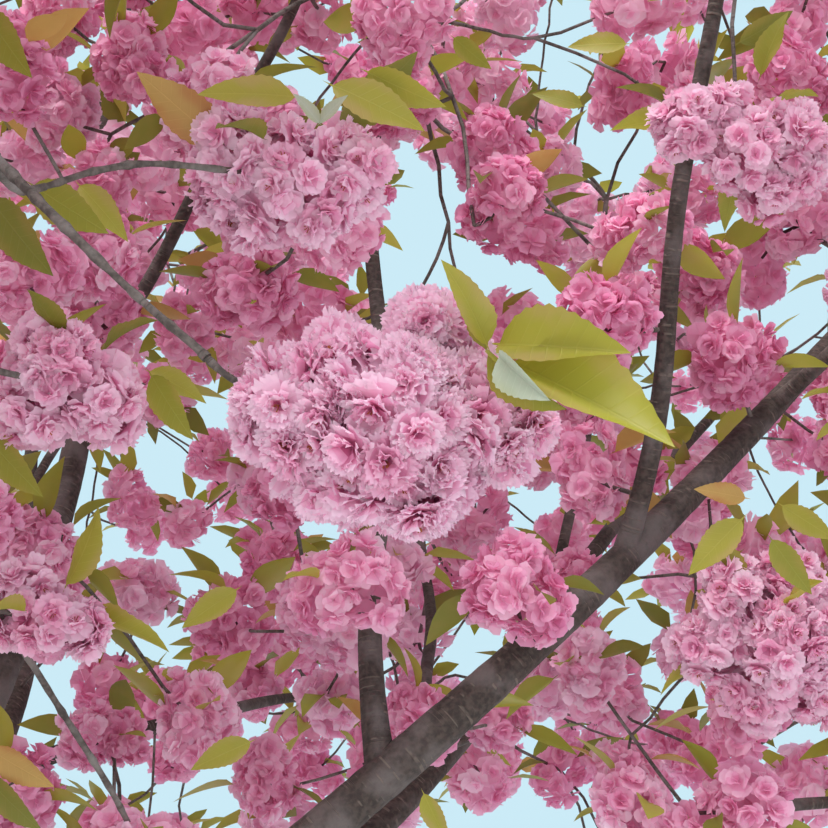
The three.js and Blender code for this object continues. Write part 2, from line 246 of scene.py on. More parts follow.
BOUGHS = (
    Bough("right", 1.42, -6, 37, 39, 49, 3.0, 0.046, (
        SideLimb(0.353, 101, 81, 93, 1.35),
        SideLimb(0.545, -71, 55, 63, 1.25),
        SideLimb(0.7, -52, 22, 34, 1.0),
        SideLimb(0.8, 70, 52, 64, 0.9),
    )),
    Bough("right_back", 1.3, 42, -6, 38, 50, 2.95, 0.04, (
        SideLimb(0.3, 8, 24, 4, 1.45),
        SideLimb(0.52, 96, 46, 58, 1.15),
        SideLimb(0.7, 20, 74, 84, 1.0),
    )),
    Bough("back", 1.48, 90, 18, 46, 54, 2.95, 0.042, (
        SideLimb(0.34, 50, 30, 10, 1.35),
        SideLimb(0.5, 146, 44, 54, 1.15),
        SideLimb(0.76, 60, 60, 72, 0.85),
    )),
    Bough("left_back", 1.36, 142, 12, 40, 50, 2.95, 0.041, (
        SideLimb(0.3, 104, 30, 8, 1.35),
        SideLimb(0.5, 192, 30, 26, 1.1),
        SideLimb(0.76, 100, 60, 70, 0.85),
    )),
    Bough("left", 1.46, 194, -12, 40, 50, 2.9, 0.041, (
        SideLimb(0.32, 236, 26, 6, 1.35),
        SideLimb(0.52, 142, 50, 62, 1.15),
        SideLimb(0.76, 244, 60, 70, 0.85),
    )),
    Bough("front", 1.34, 245, 10, 42, 56, 2.6, 0.04, (
        SideLimb(0.6, -18, 30, -18, 0.72),
        SideLimb(0.4, 206, 30, 14, 1.1),
        SideLimb(0.76, 322, 62, 72, 0.95),
    )),
    Bough("leader", 1.54, 66, 40, 66, 82, 2.85, 0.041, (
        SideLimb(0.4, 190, 52, 62, 1.2),
        SideLimb(0.58, 330, 50, 62, 1.1),
    )),
)


@dataclass
class Limb:
    """A bough or side limb: the points of its centre line and its radius at each end."""

    name: str
    bough: str
    points: Array
    base: float
    tip: float

    @property
    def mass(self) -> str:
        """The name of the mass of blossom at its tip."""
        return "blossom_" + self.name.split("_", 1)[1]

    def at(self, share: float) -> Array:
        """Returns the point at a share of its length."""
        i = min(int(share * STATIONS), STATIONS - 1)
        return self.points[i] + (self.points[i + 1] - self.points[i]) * (share * STATIONS - i)


@dataclass(frozen=True)
class LimbRule:
    """How limbs grow from their sizes."""

    sway: float = 0.012
    side_turn: float = 10
    bough_tip: float = 0.014
    limb_tip: float = 0.011
    limb_share: float = 0.62

    def path(self, start: Array, azimuth: float, turn: float, low: float, high: float,
             length: float) -> Array:
        """Draws the centre line of a limb, which turns and rises evenly and sways a little.

        Args:
            start: where it begins.
            azimuth: its compass angle there, in degrees.
            turn: how far that angle turns along it.
            low: its pitch at the base.
            high: its pitch at the tip.
            length: how long it is.

        Returns:
            One point more than it has stations.
        """
        a = math.radians(azimuth)
        side = np.array([-math.sin(a), math.cos(a), 0.5])
        at = np.array(start, float)
        points = [at]
        for i in range(1, STATIONS + 1):
            share = (i - 0.5) / STATIONS
            rise = low + (high - low) * share
            at = at + heading(azimuth + turn * share, rise) * length / STATIONS
            points.append(at + side * self.sway * length * math.sin(3 * math.pi * i / STATIONS))
        return np.array(points)

    def grow(self, boughs: Sequence[Bough]) -> list[Limb]:
        """Grows every bough and side limb.

        Args:
            boughs: the boughs.

        Returns:
            The limbs, each bough followed by its side limbs.
        """
        limbs = []
        for b in boughs:
            line = self.path((0, 0, b.rises), b.azimuth, b.turn, b.low, b.high, b.length)
            main = Limb(f"bough_{b.name}", b.name, line, b.radius, self.bough_tip)
            limbs.append(main)
            for k, s in enumerate(b.sides):
                turn = -self.side_turn if k % 2 else self.side_turn
                side = self.path(main.at(s.share), s.azimuth, turn, s.low, s.high, s.length)
                base = (b.radius + (self.bough_tip - b.radius) * s.share) * self.limb_share
                limbs.append(Limb(f"limb_{b.name}_{k + 1}", b.name, side, base, self.limb_tip))
        return limbs


@dataclass(frozen=True)
class Crown:
    """The crown's outline: uneven round its edge, domed above and rising outwards below."""

    radius: float = 2.85
    top: float = 5.0
    shoulder: float = 3.35
    roundness: float = 2.6
    foot: float = 1.75
    foot_rise: float = 0.4
    foot_wave: float = 0.12
    overshoot: float = 1.1

    @staticmethod
    def lobes(azimuth: Array, shift: float) -> Array:
        """Waves the crown's edge in and out.

        Args:
            azimuth: compass angles in radians.
            shift: what sets one edge apart from another.

        Returns:
            How far the edge stands out at each, 1 on average.
        """
        wide = 0.05 * np.sin(3 * azimuth + 0.6 + shift)
        middle = 0.04 * np.sin(5 * azimuth + 2.1 - shift)
        return 1 + wide + middle + 0.03 * np.sin(7 * azimuth + 2 * shift)

    def ceiling(self, out: Array, azimuth: Array) -> Array:
        """Works out the crown's height over places on the ground.

        Args:
            out: how far they are from the trunk.
            azimuth: their compass angles in radians.

        Returns:
            The heights, 0 past the crown's edge.
        """
        u = out / (self.radius * self.lobes(azimuth, 0))
        dome = np.sqrt(np.maximum(0, 1 - u**self.roundness))
        high = self.shoulder + (self.top - self.shoulder) * self.lobes(azimuth, 2) * dome
        return np.where(u < 1, high, 0)

    def underside(self, out: Array, azimuth: Array) -> Array:
        """Returns how low the blossom reaches over places on the ground."""
        u = out / self.radius
        return self.foot + self.foot_wave * np.sin(4 * azimuth + 1) * u + self.foot_rise * u * u

    @staticmethod
    def fullness(points: Array) -> Array:
        """Waves slowly through the crown.

        Args:
            points: the points.

        Returns:
            A number for each, low where the sky shows through the crown.
        """
        x, y, z = points.T
        across = np.sin(3.1 * x + 1.3) + np.sin(3.7 * y + 0.4 * x)
        return across + np.sin(4.3 * z + 2) + np.sin(2.3 * (x - y) + 1)


@dataclass
class Outlook:
    """Where one stands at the crown's edge and looks up into it, due +Y."""

    limbs: list[Limb]
    eye: Array = field(default_factory=lambda: np.array([0.85, -2.45, 1.6]))
    look_up: float = 25
    clear_behind: float = 0.5
    clear_depth: float = 2.0
    clear_spread: float = 0.4
    sight_share: float = 0.75
    gap_share: float = 0.6
    sight_lines: tuple[tuple[str, float, float], ...] = (
        ("bough_right", 0.3, 0.85),
        ("limb_right_2", 0, 0.8),
        ("limb_right_1", 0, 0.9),
    )
    sky_gaps: tuple[tuple[float, float, float], ...] = (
        (6.9, 10.6, 1.9), (0.8, 7, 1.2), (-7.5, -5.7, 1.3), (-9.8, -7.6, 1.1),
        (-7.2, 0.4, 0.8), (13, -1.8, 1.1), (14.6, 12.6, 1.4), (-11.8, -12.4, 1),
    )

    def __post_init__(self) -> None:
        """Sets the view's own axes and the points of the boughs that stay in sight."""
        self.look = heading(90, self.look_up)
        self.lift = heading(90, self.look_up + 90)
        self.focal = HALF_FRAME / math.tan(math.radians(HALF_VIEW))
        named = {limb.name: limb for limb in self.limbs}
        shares = np.linspace(0, 1, 14)
        self.sight = np.array([
            named[name].at(low + (high - low) * s)
            for name, low, high in self.sight_lines
            for s in shares
        ])

    def seen(self, across: float, down: float, depth: float) -> Array:
        """Finds the point that shows at a place in the frame.

        Args:
            across: pixels from the left edge.
            down: pixels from the top.
            depth: metres ahead of the eye.

        Returns:
            The point.
        """
        right = (across - HALF_FRAME) / self.focal
        rise = (HALF_FRAME - down) / self.focal
        return self.eye + depth * (self.look + rise * self.lift + np.array([right, 0, 0]))

    def shows(self, points: Array, limit: float, edge: float = 0) -> Array:
        """Says which points show in the frame.

        Args:
            points: the points.
            limit: the depth that they are nearer than.
            edge: how many pixels past the frame they may be.

        Returns:
            Whether each shows.
        """
        ahead = np.atleast_2d(points) - self.eye
        depth = ahead @ self.look
        scale = self.focal / np.where(np.abs(depth) < 1e-6, 1e-6, depth)
        off = np.maximum(np.abs(ahead[:, 0] * scale), np.abs(ahead @ self.lift * scale))
        return (0 < depth) & (depth < limit) & (off < HALF_FRAME + edge)

    def in_clearing(self, points: Array, radii: Array) -> Array:
        """Says which sprays would stand before the eye or fill a gap of sky.

        Args:
            points: the sprays' centres.
            radii: their radii.

        Returns:
            Whether each would.
        """
        ahead = points - self.eye
        depth = ahead @ self.look
        far = np.maximum(depth, 1e-6)
        off = lengths(ahead - depth[:, None] * self.look)
        behind = (depth <= 0) & (lengths(ahead) < self.clear_behind)
        before = (depth > 0) & (depth < self.clear_depth)
        before &= off < depth * self.clear_spread + radii
        right = np.degrees(np.arctan2(ahead[:, 0], far))
        rise = np.degrees(np.arctan2(ahead @ self.lift, far))
        spread = np.degrees(np.arcsin(np.minimum(1, self.gap_share * radii / far)))
        filled = np.zeros(len(points), bool)
        for a, b, half in self.sky_gaps:
            filled |= np.hypot(right - a, rise - b) < half + spread
        return behind | before | (filled & (depth > 0))

    def hides_bough(self, points: Array, radii: Array) -> Array:
        """Says which sprays would stand before a bough that stays in sight.

        Args:
            points: the sprays' centres.
            radii: their radii.

        Returns:
            Whether each would.
        """
        lines = self.sight - self.eye
        far = lengths(lines)
        toward = lines / far[:, None]
        offset = points - self.eye
        along = offset @ toward.T
        off = np.sqrt(np.maximum(0, (offset**2).sum(1)[:, None] - along**2))
        return ((along > 0) & (along < far) & (off < self.sight_share * radii[:, None])).any(1)


@dataclass
class Spaces:
    """The space of each mass of blossom: nearest its own stem and clear of all wood."""

    limbs: list[Limb]
    stem_length: float = 0.2
    line_samples: int = 8
    batch: int = 2000

    def __post_init__(self) -> None:
        """Finds the end of each stem and lists every straight stretch of wood."""
        ends = np.array([limb.points[-2:] for limb in self.limbs])
        self.stems = ends[:, 1] + unit(ends[:, 1] - ends[:, 0]) * self.stem_length
        self.starts = np.vstack([limb.points[:-1] for limb in self.limbs])
        self.spans = np.vstack([np.diff(limb.points, axis=0) for limb in self.limbs])
        shares = np.arange(STATIONS) / STATIONS
        self.radii = np.concatenate(
            [limb.base + (limb.tip - limb.base) * shares for limb in self.limbs]
        )
        self.squares = (self.spans**2).sum(1)

    def nearest_stem(self, points: Array) -> Array:
        """Returns the index of the stem nearest to each point."""
        return ((points[:, None] - self.stems[None]) ** 2).sum(2).argmin(1)

    def inside(self, points: Array, own: Array) -> Array:
        """Measures how far points lie within their stems' spaces.

        Args:
            points: the points.
            own: the index of each one's stem.

        Returns:
            How far it is to each space's nearest wall.
        """
        squares = ((points[:, None] - self.stems[None]) ** 2).sum(2)
        between = lengths(self.stems[:, None] - self.stems[None])[own]
        rows = np.arange(len(points))
        between[rows, own] = 1
        gaps = (squares - squares[rows, own][:, None]) / (2 * between)
        gaps[rows, own] = np.inf
        return gaps.min(1)

    def wood_gap(self, points: Array) -> Array:
        """Measures the gaps from points to the nearest bark.

        Args:
            points: the points.

        Returns:
            The gaps.
        """
        gaps = []
        for part in np.array_split(points, 1 + len(points) // self.batch):
            away = part[:, None] - self.starts[None]
            share = np.clip((away * self.spans).sum(2) / self.squares, 0, 1)
            off = away - share[:, :, None] * self.spans
            gaps.append((lengths(off) - self.radii).min(1))
        return np.concatenate(gaps)

    def nearest_wood(self, point: Array) -> Array:
        """Finds the nearest wood to a point.

        Args:
            point: the point.

        Returns:
            The nearest place on the limbs' centre lines.
        """
        share = ((point - self.starts) * self.spans).sum(1) / self.squares
        places = self.starts + np.clip(share, 0, 1)[:, None] * self.spans
        return places[lengths(places - point).argmin()]

    def line_gap(self, start: Array, end: Array) -> float:
        """Returns the gap from a straight line to the nearest bark."""
        shares = np.linspace(0, 1, self.line_samples + 1)[:, None]
        return float(self.wood_gap(start + (end - start) * shares).min())


@dataclass
class Spray:
    """A cluster of blossom: its centre, radius, flatness, stem and how finely it is made."""

    point: Array
    radius: float
    high: float
    own: int
    detail: Detail = Detail.FAR
    shown: str = ""


@dataclass(frozen=True)
class HangingSpray:
    """A spray that hangs into the view: name, centre, width and height."""

    name: str
    centre: tuple[float, float, float]
    width: float
    height: float


HANGING_SPRAYS = (
    HangingSpray("hero", (0.829, -1.213, 2.166), 0.29, 0.23),
    HangingSpray("upper_left", (0.702, -0.893, 2.638), 0.25, 0.18),
    HangingSpray("left", (0.407, -0.653, 2.479), 0.22, 0.2),
    HangingSpray("low_left", (0.348, -0.428, 2.234), 0.16, 0.14),
    HangingSpray("upper_right", (1.328, -0.544, 2.955), 0.25, 0.19),
    HangingSpray("right", (1.407, -0.026, 2.318), 0.27, 0.26),
)


@dataclass(frozen=True)
class SprayRule:
    """How sprays are sown through the crown, the same each time."""

    seed: int
    tries: int
    spacing: float
    smallest: float
    largest: float
    margin: float
    lonely: float
    high: float = 0.9
    reach: float = 0.92
    openness: float = -1.15
    clearance: float = 0.008
    top_row: int = 4
    neighbours: int = 2

    def permitted(self, points: Array, radii: Array, spaces: Spaces) -> tuple[Array, Array]:
        """Says which sprays may stand where they are.

        Args:
            points: the sprays' centres.
            radii: their radii.
            spaces: the space of each mass.

        Returns:
            The index of each one's stem, and whether it may.
        """
        own = spaces.nearest_stem(points)
        wood = spaces.wood_gap(points)
        near = np.minimum(wood, lengths(points - spaces.stems[own]))
        fit = spaces.inside(points, own) >= radii * self.margin
        fit &= (wood >= radii + self.clearance) & (near <= self.reach - radii)
        return own, fit

    def sow(self, crown: Crown, spaces: Spaces, outlook: Outlook,
            placed: Sequence[Spray]) -> list[Spray]:
        """Sows the sprays.

        Args:
            crown: the outline to fill.
            spaces: the space of each mass.
            outlook: the view that stays open.
            placed: sprays that are there already.

        Returns:
            The placed sprays and the new ones, without those that stand alone.
        """
        turn, out, share, size = Seeded(self.seed).table(self.tries, 4).T
        azimuth = 2 * math.pi * turn
        out = crown.radius * crown.overshoot * np.sqrt(out)
        radii = self.smallest + (self.largest - self.smallest) * size
        top = crown.ceiling(out + radii, azimuth) - radii
        foot = crown.underside(out, azimuth) + radii
        first = np.arange(self.tries) % self.top_row == 0
        height = np.where(first, top, foot + (top - foot) * share)
        points = np.stack([out * np.cos(azimuth), out * np.sin(azimuth), height], 1)
        fit = (top > foot) & (crown.fullness(points) >= self.openness)
        fit &= ~outlook.in_clearing(points, radii)
        points, radii = points[fit], radii[fit]
        own, fit = self.permitted(points, radii, spaces)
        fit &= ~outlook.hides_bough(points, radii)
        sprays = list(placed)
        taken = np.array([s.point for s in placed]).reshape(-1, 3)
        for point, radius, stem in zip(points[fit], radii[fit], own[fit]):
            if (((taken - point) ** 2).sum(1) < self.spacing**2).any():
                continue
            taken = np.vstack([taken, point])
            sprays.append(Spray(point, float(radius), self.high, int(stem)))
        near = lengths(taken[:, None] - taken[None]) < self.lonely
        kept = near.sum(1) > self.neighbours
        return [s for s, keep in zip(sprays, kept) if keep or s.shown]


@dataclass
class Node:
    """A place on the twigs of one stem: where it is, what it grows from and what it bears."""

    point: Array
    parent: int
    way: float
    course: Array
    path: Array
    spray: Spray | None = None
    shown: bool = False
    carried: int = 0


@dataclass
class Twigs:
    """The twigs of one mass, which branch from its stem and reach every spray."""

    limb: Limb
    spaces: Spaces
    outlook: Outlook
    own: int
    random: np.random.Generator
    routes: dict[str, Array]
    bare_depth: float = 1.8
    path_weight: float = 0.4
    coarse_gap: float = 0.014
    fine_gap: float = 0.006
    tip_radius: float = 0.0022
    growth: float = 0.0011
    overlap: float = 0.01
    bend: float = 0.045
    knuckle: float = 0.35
    knuckle_step: float = 0.047
    knuckle_length: float = 0.006
    spur_reach: float = 0.3
    spur_share: float = 0.65
    forwards: float = 0.7
    lift: float = 0.25
    ease: float = 0.8
    near_thickness: float = 1.25
    spur_taper: float = 1.5
    most_taper: float = 1.35
    view_samples: int = 9
    sways: tuple[float, ...] = (0.0, 0.3, 0.5, 0.7)

    def __post_init__(self) -> None:
        """Starts with the stem, which grows on from the limb's tip."""
        tip = self.limb.points[-1]
        end = self.spaces.stems[self.own]
        along = unit(end - tip)
        path = hermite(tip - along * self.overlap, end, along * 0.2, along * 0.2, 5)
        self.nodes = [Node(end, -1, 0.0, along, path)]

    def best_parent(self, point: Array, clear: float) -> int | None:
        """Finds the node that a new twig grows from.

        Args:
            point: where the twig ends.
            clear: the least gap between it and any bark.

        Returns:
            The node's index, or None if a limb is in the way of each.
        """
        gaps = lengths(np.array([n.point for n in self.nodes]) - point)
        cost = gaps + self.path_weight * np.array([n.way for n in self.nodes])
        for j in np.argsort(cost, kind="stable"):
            start = self.nodes[j].point
            if self.crosses_view(np.linspace(start, point, self.view_samples)):
                continue
            if self.spaces.line_gap(start, point) > clear:
                return int(j)
        return None

    def add(self, spray: Spray, parent: int, parts: int) -> None:
        """Grows a twig to a spray.

        Args:
            spray: the spray.
            parent: the index of the node that it grows from.
            parts: how many nodes it has.
        """
        start = self.nodes[parent]
        shown = spray.shown in self.routes
        if shown:
            line = through(np.vstack([start.point, self.routes[spray.shown], spray.point]), 12)
        else:
            line = self.curve(start, spray.point, 4 * parts)
        cuts = np.linspace(0, len(line) - 1, parts + 1).astype(int)
        for k in range(parts):
            path = line[cuts[k] : cuts[k + 1] + 1]
            length = lengths(np.diff(path, axis=0)).sum()
            way = self.nodes[parent].way + length
            ends = spray if k == parts - 1 else None
            course = unit(path[-1] - path[-2])
            self.nodes.append(Node(path[-1], parent, way, course, path, ends, shown))
            parent = len(self.nodes) - 1

    def crosses_view(self, line: Array) -> int:
        """Counts the points of a line that show in the frame so near that they stand out."""
        return int(self.outlook.shows(line, self.bare_depth).sum())

    def curve(self, start: Node, end: Array, steps: int) -> Array:
        """Draws a twig that leaves its node forwards, bends at its buds and droops a little.

        Args:
            start: the node that it grows from.
            end: where it ends.
            steps: how many stretches it has.

        Returns:
            The points of the draft that crosses the view least.
        """
        gap = np.linalg.norm(end - start.point)
        straight = unit(end - start.point)
        drawn = []
        for sway in self.sways:
            course = start.course
            if sway:
                course = course * self.forwards + self.random.normal(0, sway, 3)
            leave = unit(course * self.forwards + straight) * gap
            arrive = (straight + UP * self.lift) * gap * self.ease
            line = hermite(start.point, end, leave, arrive, steps)
            line[1:-1] += self.random.normal(0, self.bend * gap / steps, (steps - 1, 3))
            drawn.append(line)
            if not self.crosses_view(line):
                return line
        return min(drawn, key=self.crosses_view)

    def link(self, sprays: Sequence[Spray], parts: int, clear: float) -> None:
        """Joins sprays to the twigs, the nearest to the stem first.

        Args:
            sprays: the sprays.
            parts: how many nodes each twig has.
            clear: the least gap between a twig and any bark.
        """
        root = self.nodes[0].point
        for spray in sorted(sprays, key=lambda s: float(np.linalg.norm(s.point - root))):
            if spray.shown in self.routes:
                self.add(spray, 0, parts)
                continue
            parent = self.best_parent(spray.point, clear)
            if parts == 1 and self.add_spur(spray, parent):
                continue
            if parent is not None:
                self.add(spray, parent, parts)

    def add_spur(self, spray: Spray, parent: int | None) -> bool:
        """Grows a short spur to a spray straight from a limb.

        Args:
            spray: the spray.
            parent: the node that a twig to it would grow from.

        Returns:
            Whether the limb is near enough, and much nearer than the node.
        """
        place = self.spaces.nearest_wood(spray.point)
        reach = np.linalg.norm(spray.point - place)
        far = parent is None or np.linalg.norm(spray.point - self.nodes[parent].point)
        if reach > self.spur_reach or (parent is not None and reach > self.spur_share * far):
            return False
        out = unit(spray.point - place)
        path = hermite(place, spray.point, out * reach, (out + UP * 0.4) * reach * 0.8, 6)
        self.nodes.append(Node(spray.point, -1, float(reach), out, path, spray))
        return True

    def count(self, blooming: set[int]) -> None:
        """Counts the blooming sprays that each node carries.

        Args:
            blooming: the ids of the sprays that bloom.
        """
        for k, node in enumerate(self.nodes):
            if node.spray is None or id(node.spray) not in blooming:
                continue
            while k >= 0:
                self.nodes[k].carried += 1
                k = self.nodes[k].parent

    def radius(self, carried: int) -> float:
        """Returns how thick a twig is that carries this many sprays."""
        return min(self.limb.tip, self.tip_radius + self.growth * math.sqrt(carried))

    def rods(self, shown: bool) -> list[tuple[Array, Array]]:
        """Returns the line and radii of each stretch of twig that carries a spray.

        Args:
            shown: whether to return the twigs of the nearest sprays or all others.

        Returns:
            The lines and radii, with knuckles on the nearest.
        """
        made = []
        for k, node in enumerate(self.nodes):
            if not node.carried or node.shown != shown:
                continue
            thin = self.radius(node.carried) * (self.near_thickness if shown else 1)
            if k == 0:
                thick = self.limb.tip
            elif node.parent < 0:
                thick = thin * self.spur_taper
            else:
                bearing = self.radius(self.nodes[node.parent].carried)
                thick = min(bearing, thin * self.most_taper)
            radii = thick + (thin - thick) * np.linspace(0, 1, len(node.path))
            if shown:
                steps = lengths(np.diff(node.path, axis=0))
                way = np.concatenate([[0], np.cumsum(steps)]) + node.way
                off = (way / self.knuckle_step + 0.5) % 1 - 0.5
                bump = np.exp(-((off * self.knuckle_step / self.knuckle_length) ** 2))
                radii = radii * (1 + self.knuckle * bump)
            made.append((node.path, radii))
        return made


# Nodes: one way of adding nodes for shaders and for geometry


class Wire:
    """A value in a node tree, which Python's operators extend with Math nodes."""

    def __init__(self, work: "NodeWork", socket: bpy.types.NodeSocket) -> None:
        """Keeps the socket that the value comes from."""
        self.work = work
        self.socket = socket

    def __add__(self, other: Any) -> "Wire":
        """Adds a value or number."""
        return self.work.math("ADD", self, other)

    __radd__ = __add__

    def __sub__(self, other: Any) -> "Wire":
        """Takes away a value or number."""
        return self.work.math("SUBTRACT", self, other)

    def __rsub__(self, other: Any) -> "Wire":
        """Is taken away from a number."""
        return self.work.math("SUBTRACT", other, self)

    def __mul__(self, other: Any) -> "Wire":
        """Multiplies by a value or number."""
        return self.work.math("MULTIPLY", self, other)

    __rmul__ = __mul__

    def __abs__(self) -> "Wire":
        """Drops the sign."""
        return self.work.math("ABSOLUTE", self, 0.0)


class NodeWork:
    """Adds nodes to one shader or geometry tree."""

    def __init__(self, tree: bpy.types.NodeTree) -> None:
        """Keeps the tree."""
        self.tree = tree

    def node(self, kind: str, settings: dict[str, Any] | None = None,
             values: dict[str | int, Any] | None = None) -> bpy.types.Node:
        """Adds a node.

        Args:
            kind: the node's type.
            settings: its properties, which are set first.
            values: what goes into its sockets, by name or index: a wire, a socket or a value.

        Returns:
            The new node.
        """
        made = self.tree.nodes.new(kind)
        for name, value in (settings or {}).items():
            setattr(made, name, value)
        for key, value in (values or {}).items():
            self.feed(made.inputs[key], value)
        return made

    def feed(self, socket: bpy.types.NodeSocket, value: Any) -> None:
        """Feeds a socket.

        Args:
            socket: the socket.
            value: what it gets: a wire, a socket or a value.
        """
        if isinstance(value, Wire):
            self.tree.links.new(value.socket, socket)
        elif isinstance(value, bpy.types.NodeSocket):
            self.tree.links.new(value, socket)
        else:
            socket.default_value = value

    def wire(self, kind: str, settings: dict[str, Any] | None = None,
             values: dict[str | int, Any] | None = None, output: str | int = 0) -> Wire:
        """Adds a node and returns one of its outputs as a wire."""
        return Wire(self, self.node(kind, settings, values).outputs[output])

    def math(self, operation: str, first: Any, second: Any) -> Wire:
        """Adds a Math node for two values."""
        return self.wire("ShaderNodeMath", {"operation": operation}, {0: first, 1: second})

    def between(self, value: Any, low: float, high: float) -> Wire:
        """Returns 0 below low, 1 above high and a smooth step between them."""
        return self.wire(
            "ShaderNodeMapRange",
            {"interpolation_type": "SMOOTHSTEP"},
            {"Value": value, "From Min": low, "From Max": high},
        )

    def noise(self, place: Any, scale: float, detail: float = 2.0) -> Wire:
        """Adds soft noise of this many lumps to the metre."""
        return self.wire(
            "ShaderNodeTexNoise", None, {"Vector": place, "Scale": scale, "Detail": detail}
        )

    def mix(self, factor: Any, first: Any, second: Any) -> Wire:
        """Mixes two colours."""
        return self.wire(
            "ShaderNodeMix", {"data_type": "RGBA"}, {0: factor, 6: first, 7: second}, 2
        )

    def thin(self, front: dict[str | int, Any], colour: Colour, share: float) -> Wire:
        """Adds the surface of a thin blade, through which some light comes.

        Args:
            front: what goes into the sockets of its lit side.
            colour: the colour of the light that comes through.
            share: how much comes through.

        Returns:
            The shader.
        """
        lit = self.wire("ShaderNodeBsdfPrincipled", None, front)
        behind = self.wire("ShaderNodeBsdfTranslucent", None, {"Color": rgba(colour)})
        return self.wire("ShaderNodeMixShader", None, {0: share, 1: lit, 2: behind})

    def attribute(self, name: str, data_type: str) -> Wire:
        """Reads a mesh's attribute in a geometry tree."""
        return self.wire("GeometryNodeInputNamedAttribute", {"data_type": data_type}, {0: name})


def rgba(colour: Colour) -> tuple[float, float, float, float]:
    """Returns a colour with full alpha."""
    return (*colour, 1.0)


class Finish:
    """A material that is made once, the first time it is asked for."""

    name: str

    def material(self) -> bpy.types.Material:
        """Makes the material the first time.

        Returns:
            The material.
        """
        made = bpy.data.materials.get(self.name)
        if made is None:
            made = bpy.data.materials.new(self.name)
            made.use_nodes = True
            made.node_tree.nodes.clear()
            work = NodeWork(made.node_tree)
            place = work.wire("ShaderNodeTexCoord", output="Object")
            out = self.surface(work, place)
            work.node("ShaderNodeOutputMaterial", None, {"Surface": out})
        return made

    def surface(self, work: NodeWork, place: Wire) -> Any:
        """Adds the nodes of the surface and returns its shader."""
        raise NotImplementedError


@dataclass(frozen=True)
class BarkFinish(Finish):
    """Grey-brown bark with paler patches and short rows of pores across the limb."""

    name: str = "cherry_bark"
    dark: Colour = (0.034, 0.023, 0.019)
    brown: Colour = (0.078, 0.055, 0.045)
    grey: Colour = (0.165, 0.135, 0.127)
    pore: Colour = (0.20, 0.155, 0.125)
    roughness: float = 0.86
    relief: float = 0.007
    bump: float = 0.7
    patch_scale: float = 11
    scurf_scale: float = 110
    ring_scale: float = 130
    pore_scale: float = 38
    greyness: float = 0.7
    pore_share: float = 0.6

    def surface(self, work: NodeWork, place: Wire) -> Any:
        """Mixes patches and pores over dark bark, with a bump from the scurf, rings and pores.

        Args:
            work: what adds the nodes.
            place: the object's coordinates.

        Returns:
            The shader.
        """
        along = work.wire(
            "ShaderNodeAttribute", {"attribute_name": "along"}, output="Fac"
        )
        rings = work.wire(
            "ShaderNodeTexNoise", {"noise_dimensions": "1D"},
            {"W": along, "Scale": self.ring_scale, "Detail": 2.0},
        )
        patches = work.between(work.noise(place, self.patch_scale, 5), 0.46, 0.66)
        scurf = work.noise(place, self.scurf_scale, 3)
        rows = work.between(work.noise(place, self.pore_scale), 0.5, 0.6)
        dashes = work.between(rings, 0.56, 0.64) * rows
        colour = work.mix(work.between(scurf, 0.3, 0.7), rgba(self.dark), rgba(self.brown))
        colour = work.mix(patches * self.greyness, colour, rgba(self.grey))
        colour = work.mix(dashes * self.pore_share, colour, rgba(self.pore))
        height = scurf * 0.6 + rings * 0.35 + dashes * 0.5
        bump = work.wire(
            "ShaderNodeBump", None,
            {"Strength": self.bump, "Distance": self.relief, "Height": height},
            "Normal",
        )
        return work.wire(
            "ShaderNodeBsdfPrincipled", None,
            {"Base Color": colour, "Roughness": self.roughness, "Normal": bump},
        )


@dataclass(frozen=True)
class PetalFinish(Finish):
    """A petal of one tone, a little uneven, with some light coming through it."""

    name: str
    colour: Colour
    shade: Colour
    glow: Colour
    through: float = 0.45
    roughness: float = 0.7
    gloss: float = 0.12
    patch_scale: float = 60

    def surface(self, work: NodeWork, place: Wire) -> Any:
        """Mixes two near tones by soft noise, and the lit side with light from behind.

        Args:
            work: what adds the nodes.
            place: the object's coordinates.

        Returns:
            The shader.
        """
        uneven = work.between(work.noise(place, self.patch_scale, 1), 0.35, 0.65)
        colour = work.mix(uneven, rgba(self.colour), rgba(self.shade))
        front: dict[str | int, Any] = {
            "Base Color": colour, "Roughness": self.roughness, "Specular IOR Level": self.gloss,
        }
        return work.thin(front, self.glow, self.through)


